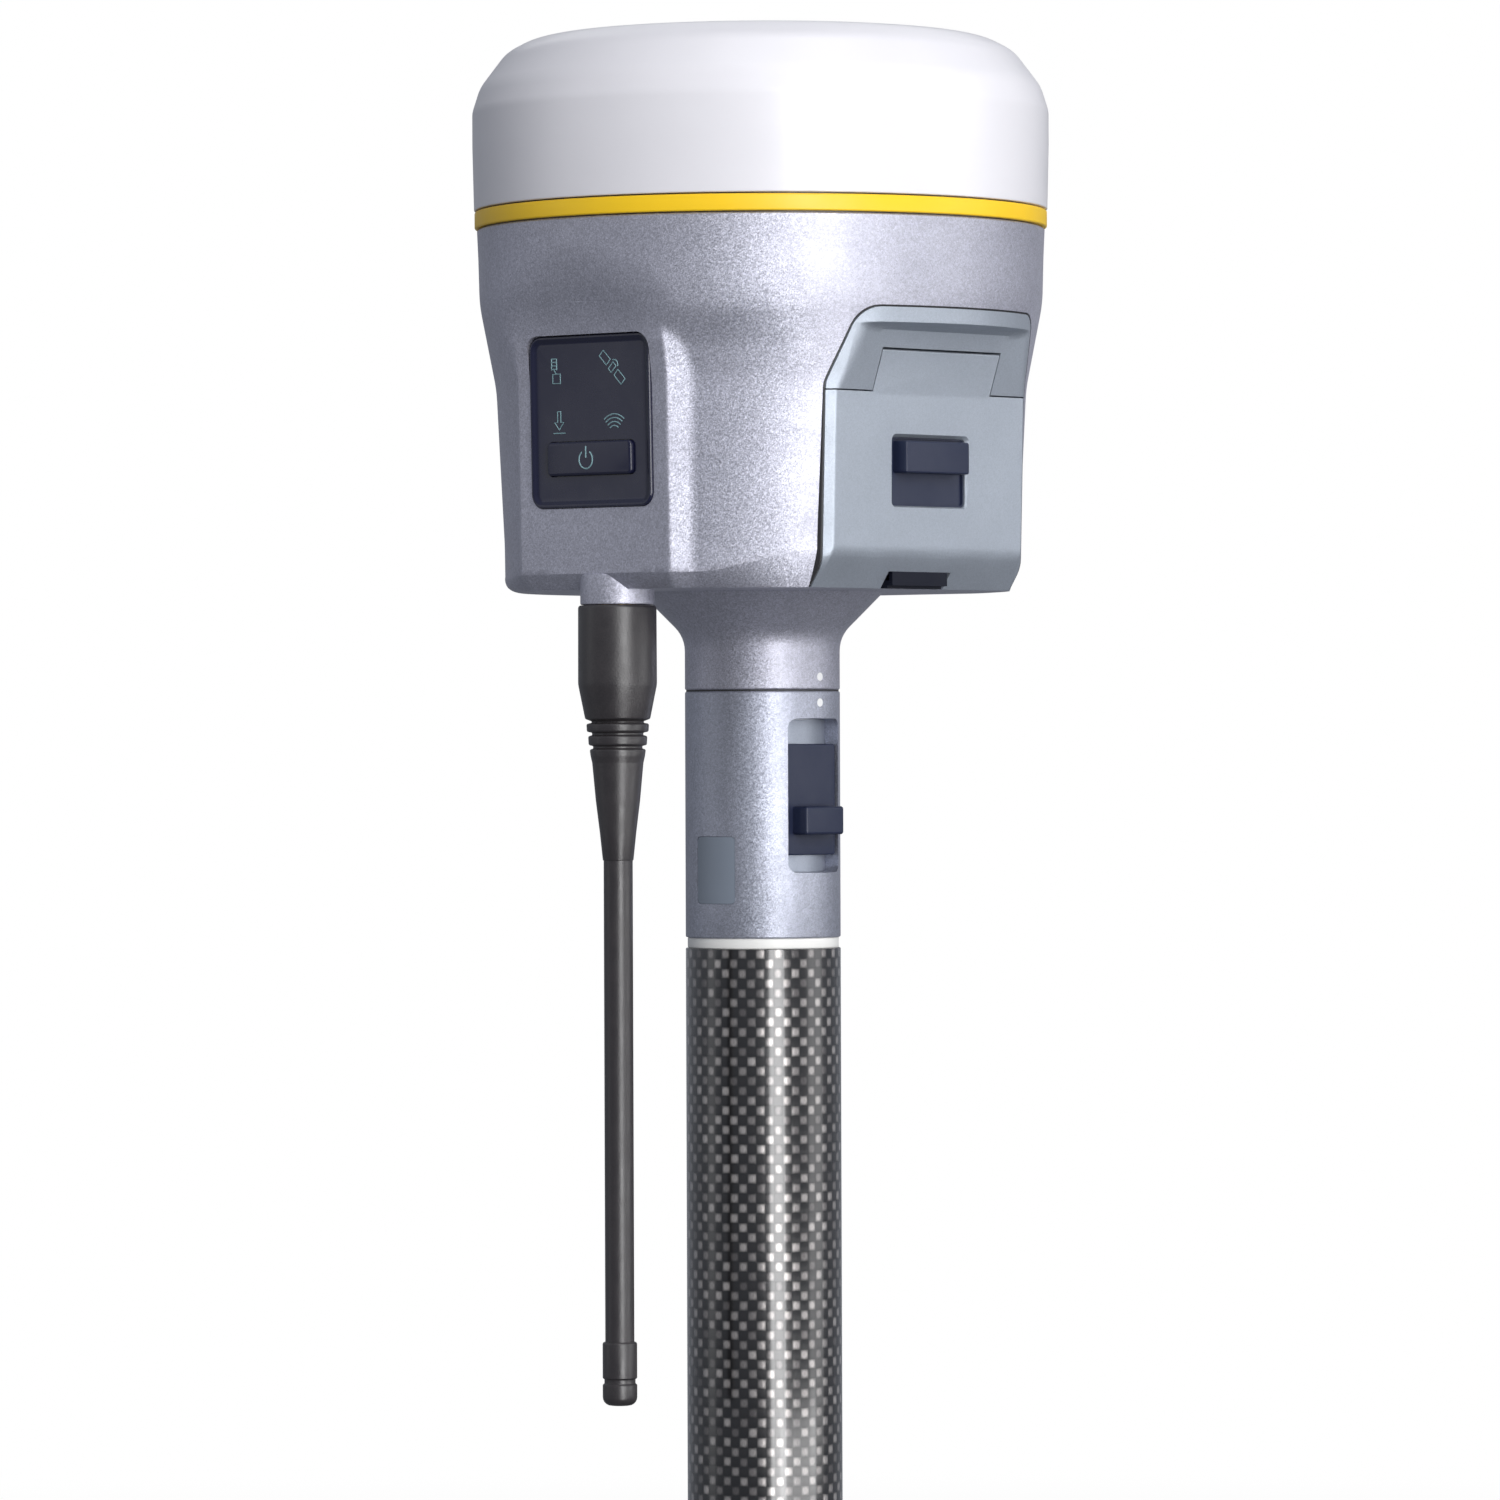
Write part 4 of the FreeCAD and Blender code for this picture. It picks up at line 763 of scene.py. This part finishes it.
def edge_distance(y, z, points):
    """Distance inside a closed outline."""
    best = np.full(y.shape, 1e3)
    for (ya, za), (yb, zb) in zip(points, points[1:] + points[:1]):
        run = np.array([yb - ya, zb - za])
        length = max(np.hypot(*run), 1e-6)
        share = np.clip(((y - ya) * run[0] + (z - za) * run[1]) / length ** 2, 0, 1)
        best = np.minimum(best, np.hypot(y - ya - share * run[0], z - za - share * run[1]))
    return best


def cover_front(y, z):
    """The hinge cover's face: leaning and flat, with a rim that is flush with the housing."""
    body = np.sqrt(np.maximum(ROUND(z) ** 2 - y ** 2, 1))
    rim = edge_distance(y, z, cover_outline(0, 40.0))
    face = smooth_min(DOOR_FACE + (z - DOOR_TOP) * COVER_LEAN, body - 0.05 + rim * 0.12, 0.5)
    face = np.minimum(face, body + 6)
    strip = smooth_step((z - 72.4) / 0.9)
    return face * (1 - strip) + np.maximum(face, body - 0.05 + rim * 0.2) * strip


def door_front(y, z):
    """The battery door's face with its bevelled sides and bottom."""
    face = DOOR_FACE - (DOOR_TOP - z) * DOOR_LEAN
    side = face - (np.abs(y) - (DOOR_HALF - SIDE_BEVEL)) * SIDE_SLOPE
    foot = face - (FLOOR + DOOR_CHAMFER - z) * DOOR_CHAMFER_DEPTH / DOOR_CHAMFER
    face = smooth_min(face, side, 0.3)
    return smooth_min(face, foot, 1.2)


def spaced(low, high, step, focus=()):
    """Evenly spaced values with finer ones about each focus (value, width, step)."""
    values = list(np.arange(low, high + step / 2, step))
    for middle, width, fine in focus:
        values = [v for v in values if abs(v - middle) > width]
        values += list(np.arange(middle - width, middle + width + fine / 2, fine))
    return np.array(sorted({round(float(min(max(v, low), high)), 4) for v in values}))


def hinge_cover():
    """The plate above the door, with the notch and the bore for the door's hinge."""
    across = spaced(-31, 31, 1.0, [(-29, 2.0, 0.2), (29, 2.0, 0.2)])
    heights = spaced(DOOR_TOP + 0.3, 78.2, 0.8, [(73.4, 0.7, 0.08), (76, 1.2, 0.25)])
    cover = slab("hinge_cover_shell", across, heights, cover_front, 42.7)
    carve(cover, prism("outline", cover_outline(0, 50.0), 30, 80, facing_x), "INTERSECT")
    side = TAB_HALF + TAB_GAP
    notch = [(-side, 50, 0.5), (side, 50, 0.5), (side, TAB_TOP + 0.4, 0.5), (-side, TAB_TOP + 0.4, 0.5)]
    carve(cover, prism("notch", rounded_path(notch, steps=4), 40, 60, facing_x))
    carve(cover, prism("turn", circle(3.1, HINGE_X, HINGE_Z), -side, side, facing_y))
    carve(cover, prism("pin", circle(0.92, HINGE_X, HINGE_Z, 32), -21.2, 21.2, facing_y))
    piece_of(cover, "receiver", "cover_plastic", COVER, "hinge_cover")


def seam_shadow_bead():
    """A dark rubber bead in the gap round the hinge cover and the door: painted shadow that keeps the seam
    line dark.
    """
    seal = slab("painted_seam_shadow", spaced(-31.4, 31.4, 0.8), spaced(FLOOR + 0.1, 77.4, 0.8), shadow_bead_front, 40.2)
    carve(seal, prism("shadow_bead_outer", cover_outline(GAP + 0.02, FLOOR - 1), 30, 80, facing_x), "INTERSECT")
    carve(seal, prism("shadow_bead_inner", cover_outline(0.06, FLOOR - 3), 30, 80, facing_x))
    piece_of(seal, "receiver", "rubber", SEAM_SHADOW_RUBBER)


def shadow_bead_front(y, z):
    """Just under the lower of the two edges that the bead lies between."""
    body = np.sqrt(np.maximum(ROUND(z) ** 2 - y ** 2, 1))
    lid = np.where(z > DOOR_TOP, cover_front(y, z), door_front(np.clip(y, -DOOR_HALF, DOOR_HALF), z))
    beside_door = smooth_step((DOOR_TOP + 0.5 - z) / 0.8)
    return np.minimum(body - 0.1, lid - 0.3) * (1 - beside_door) + (lid - 0.3) * beside_door


def battery_door():
    """The door: a bevelled shell with the latch window, the bolt's notch and the hinge tab."""
    across = spaced(-DOOR_HALF, DOOR_HALF, 1.2, [(-28.6, 0.6, 0.1), (28.6, 0.6, 0.1)])
    heights = spaced(FLOOR, DOOR_TOP, 1.2, [(27.6, 1.4, 0.2)])
    door = slab("battery_door_shell", across, heights, door_front, 40.4)
    carve(door, bar("room", 29.3, 15.2, 1, (0, 43.3), 40, 43.7, facing_x))
    behind = [(38, 19), (40.4, 19), (40.5, 20.2), (41.9, 24.4), (DOOR_BACK, 26.0), (DOOR_BACK, 62), (38, 62)]
    carve(door, prism("behind", behind, -32, 32, facing_y))
    carve(door, bar("bolt_way", 8.2, 2.2, 0.2, (0, KEEPER_MID), 38, DOOR_BACK, facing_x))
    face_x = DOOR_FACE + (TAB_TOP - DOOR_TOP) * COVER_LEAN
    tab = rounded_path([(44.4, 59.0, 0), (DOOR_FACE - 0.05, 59.0, 0), (DOOR_FACE, DOOR_TOP, 0),
                        (face_x, TAB_TOP, 0.35), (HINGE_X + 0.6, TAB_TOP + 0.35, 1.2),
                        (HINGE_X - 2.0, HINGE_Z + 1.2, 1.4), (HINGE_X - 2.1, HINGE_Z - 1, 1.0)], steps=5)
    carve(door, prism("tab", tab, -TAB_HALF, TAB_HALF, facing_y), "UNION")
    window = shifted(round_rectangle(11.3, 6.95, 0.9), 0, WINDOW_MID)
    wide = shifted(round_rectangle(12.2, 7.85, 1.6), 0, WINDOW_MID)
    layers = [(window, 40), (window, DOOR_FACE - 1.0), (wide, DOOR_FACE + 0.1), (wide, 52)]
    carve(door, stack("window", layers, facing_x))
    carve(door, prism("notch", [(-9.5, 15), (9.5, 15), (9.5, 23.6), (-9.5, 23.6)], 40, 48, facing_x))
    carve(door, prism("pin", circle(0.95, HINGE_X, HINGE_Z, 32), -19, 19, facing_y))
    piece_of(door, "door", "cover_plastic", COVER, "battery_door")


def latch():
    """The dark tray in the door's window and the bar that slides in it."""
    outside = shifted(round_rectangle(11.25, 6.9, 0.9), 0, WINDOW_MID)
    inside = shifted(round_rectangle(10.95, 6.6, 0.7), 0, WINDOW_MID)
    layers = [(outside, 43.72), (outside, 45.3), (inside, 45.3), (inside, 44.9)]
    tray = stack("latch_tray_dish", layers, facing_x)
    piece_of(tray, "door", "dark_plastic", NAVY, "latch_tray")
    slider = cushion("latch_bar", (9.7, 3.25, 0.5, 44.95, 48.5, 0.4), (0, 46.7), facing_x)
    carve(slider, bar("stem", 2.9, 2.1, 0.4, (0, 46.6), 42.3, 45.5, facing_x), "UNION")
    piece_of(slider, "door_latch", "dark_plastic", NAVY, "latch_slider")


# ---- keypad

BUTTON_AT = (-0.2, -7.35)


def keypad():
    """The glossy keypad face with its rolled rim, and the power button in its well."""
    half, high, corner, middle = 16.8, 17.45, 3.0, 0.15
    rim = ((0, -1.6), (0, 0.1), (0.06, 0.36), (0.25, 0.55), (0.5, 0.6), (0.8, 0.52), (1.1, 0.25),
           (1.45, 0.06), (1.8, 0.0))
    layers = []
    for inset, depth in rim:
        outline = round_rectangle(half - inset, high - inset, max(corner - inset, 0.3))
        layers.append((shifted(outline, 0, middle), depth))
    bezel = stack("keypad_bezel_face", layers, on_panel)
    carve(bezel, bar("well", 11.9, 3.6, 1.0, BUTTON_AT, -0.9, 2.0, on_panel))
    piece_of(bezel, "receiver", "dark_plastic", NAVY_GLOSS, "keypad_bezel")
    cap = cushion("power_button_cap", (11.75, 3.45, 1.1, -1.0, 0.95, 0.6), BUTTON_AT, on_panel)
    piece_of(cap, "button", "dark_plastic", NAVY_GLOSS, "power_button")


def arc(middle, radius, first, last, depth, steps):
    """Points along an arc on the panel; angles in degrees."""
    return [(middle[0] + radius * cos(turn), middle[1] + radius * sin(turn), depth)
            for turn in map(radians, np.linspace(first, last, steps))]


DIAGONAL = 0.7071


def tilted_box(x, z, half_a, half_b):
    """Corners of a rectangle about (x, z) that is turned by 45 degrees."""
    corners = [(-half_a, -half_b), (half_a, -half_b), (half_a, half_b), (-half_a, half_b)]
    return [(x + (p - q) * DIAGONAL, z - (p + q) * DIAGONAL) for p, q in corners]


def icon_strokes(depth):
    """The four status symbols as strokes: receiver, satellite, download and wireless."""
    strokes = []

    def line(*points, closed=False):
        strokes.append(([(a, b, depth) for a, b in points], closed))

    x, z = -10.0, 10.4
    line((x - 0.6, z - 2.4), (x + 1.5, z - 2.4), (x + 1.5, z - 0.5), (x - 0.6, z - 0.5), closed=True)
    line((x - 0.9, z + 0.3), (x - 0.9, z + 2.6))
    line((x + 0.5, z + 0.3), (x + 0.5, z + 2.6))
    for level in (0.5, 1.2, 1.9, 2.6):
        line((x - 0.9, z + level), (x + 0.5, z + level))
    line((x - 0.2, z + 0.3), (x + 0.4, z - 0.5))
    x, z = 6.0, 10.8
    for side in (-1, 1):
        line(*tilted_box(x + side * 2.0, z - side * 2.0, 1.35, 0.8), closed=True)
    line(*tilted_box(x, z, 0.55, 0.95), closed=True)
    strokes.append((arc((x + 0.55, z + 0.55), 1.0, -20, 110, depth, 8), False))
    x, z = -9.0, 0.2
    line((x - 1.6, z - 2.3), (x + 1.6, z - 2.3))
    line((x - 0.45, z + 2.1), (x + 0.45, z + 2.1), (x + 0.45, z - 0.1), (x + 1.25, z - 0.1), (x, z - 1.6),
         (x - 1.25, z - 0.1), (x - 0.45, z - 0.1), closed=True)
    for radius in (1.8, 2.6, 3.4, 4.15):
        strokes.append((arc((6.3, -2.75), radius, 48.5, 131.5, depth, 14), False))
    return strokes


def icons():
    """The printed symbols on the keypad and on the power button."""
    symbols = tubes("status_symbols", icon_strokes(0.02), 0.13, on_panel)
    piece_of(symbols, "receiver", "icons", ICON, "status_windows")
    x, depth = -0.9, 0.95
    ring, stroke = arc((x, -7.6), 1.85, 125, 415, depth, 26), [(x, -4.9, depth), (x, -7.2, depth)]
    power = [(ring, False), (stroke, False)]
    piece_of(tubes("power_symbol", power, 0.16, on_panel), "button", "icons", ICON)


# ---- antenna


def antenna():
    """The whip: a ribbed and tapered grip, a thin rod and an end cap."""
    at = (0.0, WHIP_Y)
    rod_radius, rod_top, cap_top = 2.95, -34.5, -132.3
    grip = rounded_path([
        (0, STUB_LOW - 0.1, 0), (7.95, STUB_LOW - 0.1, 0.6), (8.0, 1.0, 6), (6.6, -6.0, 0.5),
        (5.3, -6.5, 0.2), (5.3, -6.8, 0.2), (6.35, -7.0, 0.4), (6.25, -8.6, 0.4), (5.2, -8.8, 0.2),
        (5.2, -9.3, 0.2),
        (6.0, -9.5, 0.4), (5.9, -11.3, 0.4), (5.0, -11.5, 0.2), (5.0, -12.0, 0.2), (5.7, -12.2, 0.4),
        (5.5, -13.6, 0.5), (5.2, -14.9, 1.0), (4.5, -22.5, 20), (3.7, -29.0, 20), (3.1, -34.7, 0.2),
        (0, -34.7, 0)], steps=4)
    piece_of(lathe("whip_grip", grip, at, 96), "whip", "rubber", RUBBER, "whip_sleeve")
    rod = [(0, rod_top), (rod_radius, rod_top), (rod_radius, cap_top), (0, cap_top)]
    piece_of(lathe("whip_core", rod, at, 64), "whip", "rubber", RUBBER, "whip_rod")
    cap = rounded_path([
        (0, -132.2, 0), (3.5, -132.2, 0.5), (3.5, -139.5, 0.2), (3.15, -139.8, 0.15), (3.15, -140.6, 0.15),
        (3.5, -140.9, 0.2), (3.5, -145.1, 1.8), (0, -145.1, 0)], steps=5)
    piece_of(lathe("whip_end_cap", cap, at, 64), "whip", "rubber", RUBBER, "whip_cap")


# ---- adapter and pole

SLEEVE_BORE, SLEEVE_TOP = 12.65, -0.3
SLOT_MID, PLATE_MID, THUMB_MID, SET_SCREW_Z = -21.8, -22.6, -26.9, -47
LABEL_AT = (0.85, -37.05)


def adapter():
    """The adapter's sleeve with the lock slot, the label's seat and the set screws' holes."""
    loop = rounded_path([(SLEEVE_BORE, SLEEVE_LOW, 0.1), (POLE_RADIUS, SLEEVE_LOW, 0.3),
                         (POLE_RADIUS, SLEEVE_TOP, 0.4), (SLEEVE_BORE, SLEEVE_TOP, 0.1)], steps=3)
    sleeve = lathe("sleeve_shell", loop)
    slot = shifted(round_rectangle(7.65, 15.7, 1.8), 0, SLOT_MID)
    wide = shifted(round_rectangle(7.9, 15.95, 2.0), 0, SLOT_MID)
    carve(sleeve, stack("slot", [(slot, 0), (slot, 13.7), (wide, 17)], facing_x))
    # A dark rubber ring in the gap between the receiver's neck and the sleeve: painted shadow for the seam
    # line.
    bead = lathe("sleeve_seam_shadow", [(12.9, -0.42), (15.75, -0.42), (15.75, -0.02), (12.9, -0.02)])
    piece_of(bead, "pole_assembly", "rubber", SEAM_SHADOW_RUBBER)
    seat = bar("patch_seat", 5.0, 6.95, 0.9, LABEL_AT, -18, -10, facing_y)
    seat_floor = POLE_RADIUS - 0.6
    under = lathe("under_patch", [(0, -50), (seat_floor, -50), (seat_floor, -25), (0, -25)])
    carve(sleeve, carve(seat, under))
    hole = circle(1.6, 0, SET_SCREW_Z)
    carve(sleeve, prism("set_hole_back", hole, 12, 18, facing_y))
    carve(sleeve, prism("set_hole_side", hole, -18, -12, facing_x))
    piece_of(sleeve, "pole_assembly", "sleeve", SLEEVE_PAINT, "adapter_sleeve")


def adapter_trim():
    """The alignment dots, the blank label and the pale track in the slot."""
    for name, height, body in (("dot_upper", 2.6, "receiver"), ("dot_lower", -2.7, "pole_assembly")):
        dot = prism(name, circle(0.85, 0, height, 28), POLE_RADIUS - 0.6, POLE_RADIUS + 0.02, facing_x)
        piece_of(dot, body, "radome", WHITE_PRINT)
    plate = bar("blank_label", 4.92, 6.87, 0.85, LABEL_AT, -18, -10, facing_y)
    inner, outer = POLE_RADIUS - 0.55, POLE_RADIUS - 0.1
    carve(plate, lathe("plate_skin", [(inner, -50), (outer, -50), (outer, -25), (inner, -25)]), "INTERSECT")
    piece_of(plate, "pole_assembly", "plate_grey", PATCH, "blank_plate")
    inner, outer, low, high = 12.62, 12.9, SLEEVE_LOW + 1, -6.2
    track = lathe("slot_track", [(inner, low), (outer, low), (outer, high), (inner, high)])
    carve(track, bar("track_area", 7.6, 15.65, 1.7, (0, SLOT_MID), 2, 16, facing_x), "INTERSECT")
    piece_of(track, "pole_assembly", "band", FLOOR_TRACK)


def lock_plate():
    """The dark lock plate, hollow to clear the core, with its thumb bar."""
    plate = cushion("lock_plate_bar", (7.3, 11.4, 0.6, 12.2, 13.6, 0.3), (0, PLATE_MID), facing_x)
    carve(plate, lathe("inner", [(12.75, -40), (12.75, 0), (0, 0), (0, -40)], segments=128))
    thumb = cushion("thumb", (5.75, 2.9, 0.6, 13.0, 17.5, 0.6), (0, THUMB_MID), facing_x)
    carve(plate, thumb, "UNION")
    piece_of(plate, "lock_slider", "dark_plastic", NAVY, "lock_plate")


def pole():
    """The carbon tube and the pale band between it and the adapter."""
    bore, band_bore, band_radius = 14.0, 9.95, 15.6
    loop = rounded_path([(bore, POLE_FOOT, 0.2), (POLE_RADIUS, POLE_FOOT, 0.2), (POLE_RADIUS, POLE_TOP, 0.2),
                         (bore, POLE_TOP, 0.2)], steps=2)
    piece_of(lathe("carbon_tube", loop, segments=256), "pole_assembly", "carbon", CARBON, "pole_tube")
    band = rounded_path([(band_bore, POLE_TOP, 0.1), (band_radius, POLE_TOP, 0.3),
                         (band_radius, SLEEVE_LOW, 0.3), (band_bore, SLEEVE_LOW, 0.1)], steps=3)
    piece_of(lathe("pale_band", band), "pole_assembly", "band", BAND, "end_band")


# ---- remaining CAD nodes

FINISHES = {
    "carbon": CARBON, "aluminium": ALUMINIUM, "band": BAND, "sleeve": SLEEVE_PAINT, "plate_grey": PATCH,
    "steel": STEEL, "dark_plastic": NAVY, "housing": PAINT, "rubber": RUBBER, "yellow": YELLOW,
    "radome": RADOME, "cover_plastic": COVER, "pack": PACK, "brass": BRASS, "icons": ICON, "board": BOARD,
    "can": TIN, "ceramic": CERAMIC,
}


def finish_nodes():
    """Give every CAD node the material of its slot, and the keeper's pocket a dark floor."""
    for part in frame["record"]["subparts"]:
        node = frame["nodes"][part["node"]]
        node.data.materials.clear()
        node.data.materials.append(FINISHES[part["material_slot"]])
    frame["nodes"]["latch_keeper"].data.materials[0] = KEEPER
    floor = bar("keeper_floor", 8.3, 0.34, 0.05, (0, FLOOR + 0.36), 39.5, 41.9, facing_x)
    piece_of(floor, "receiver", "dark_plastic", KEEPER)


# ---- stage, lights and camera


def outward(azimuth, elevation):
    """The direction of an azimuth and elevation in degrees, seen from the object."""
    a, e = radians(azimuth), radians(elevation)
    return Vector((sin(a) * cos(e), -cos(a) * cos(e), sin(e)))


def area_light(name, azimuth, elevation, distance, width, height, power, target):
    """A soft box that faces the target from an azimuth and elevation, and that no camera sees."""
    data = bpy.data.lights.new(name, "AREA")
    data.shape = "RECTANGLE"
    data.size, data.size_y = width, height
    data.energy = power
    light = new_object(name, data)
    back = outward(azimuth, elevation)
    light.location = target + back * distance
    light.rotation_mode = "QUATERNION"
    light.rotation_quaternion = (-back).to_track_quat("-Z", "Y")
    light.visible_camera = False


CAMERA_AZIMUTH = 42.5
CAMERA_DISTANCE = 1.658
CAMERA_DROP = 0.0124
CAMERA_SIDE = -0.0026
CAMERA_LENS = 192.6
CAMERA_ROLL = radians(0.2)


def stage():
    """The floor and the world: soft light that is stronger from above, and a white surround."""
    bpy.ops.mesh.primitive_circle_add(vertices=128, radius=14, fill_type="TRIFAN")
    floor = bpy.context.object
    floor.name = "floor"
    floor.data.materials.append(floor_white("floor_white"))
    floor.visible_diffuse = floor.visible_glossy = False
    world = bpy.data.worlds.new("studio")
    bpy.context.scene.world = world
    world.use_nodes = True
    tree = world.node_tree
    tree.nodes.remove(tree.nodes["Background"])
    direction = add_node(tree, "ShaderNodeTexCoord", {})["Generated"]
    height = add_node(tree, "ShaderNodeSeparateXYZ", {0: direction})["Z"]
    limits = {"From Min": -0.5, "From Max": 0.4, "To Min": 0.19, "To Max": 0.36}
    strength = add_node(tree, "ShaderNodeMapRange", {"Value": height, **limits})[0]
    sky = add_node(tree, "ShaderNodeBackground", {"Color": (0.84, 0.89, 1.0, 1), "Strength": strength})[0]
    white = add_node(tree, "ShaderNodeBackground", {"Color": (1, 1, 1, 1)})[0]
    seen = add_node(tree, "ShaderNodeLightPath", {})["Is Camera Ray"]
    chosen = add_node(tree, "ShaderNodeMixShader", {0: seen, 1: sky, 2: white})[0]
    tree.links.new(chosen, tree.nodes["World Output"].inputs["Surface"])


# Name, azimuth from the camera's, elevation, distance, width, height and power.
SOFT_BOXES = (
    ("key", 20, 4, 1.5, 0.6, 1.9, 24),
    ("low", 52, -11, 1.35, 1.5, 0.14, 3.0),
    ("side", 84, 14, 1.6, 0.8, 1.4, 5),
    ("top", 20, 66, 1.5, 1.0, 1.0, 4.6),
    ("fill", -85, 10, 1.9, 0.5, 1.4, 1.1),
    ("back", 180, 40, 1.9, 1.4, 1.0, 2.5),
)


def lights():
    """The soft boxes, aimed at the receiver's lower half."""
    target = Vector((0, 0, (SEAM + 40) * MM))
    for name, turn, *rest in SOFT_BOXES:
        area_light(name, CAMERA_AZIMUTH + turn, *rest, target)


def camera():
    """A long lens, level with the adapter."""
    data = bpy.data.cameras.new("camera")
    data.lens = CAMERA_LENS
    data.sensor_width, data.clip_end = 36, 60
    cam = new_object("camera", data)
    back, right = outward(CAMERA_AZIMUTH, 0), outward(CAMERA_AZIMUTH + 90, 0)
    cam.location = back * CAMERA_DISTANCE + right * CAMERA_SIDE + Vector((0, 0, SEAM * MM - CAMERA_DROP))
    turn = (-back).to_track_quat("-Z", "Y").to_matrix().to_4x4() @ Matrix.Rotation(-CAMERA_ROLL, 4, "Z")
    cam.rotation_mode = "QUATERNION"
    cam.rotation_quaternion = turn.to_quaternion()
    bpy.context.scene.camera = cam


camera()
stage()
lights()
bpy.context.scene.view_settings.view_transform = "Standard"
finish_nodes()
radome()
accent_ring()
lower_housing()
hinge_cover()
# The dark bead in the door's seam is painted shadow.
seam_shadow_bead()
battery_door()
latch()
keypad()
icons()
antenna()
adapter()
adapter_trim()
lock_plate()
pole()
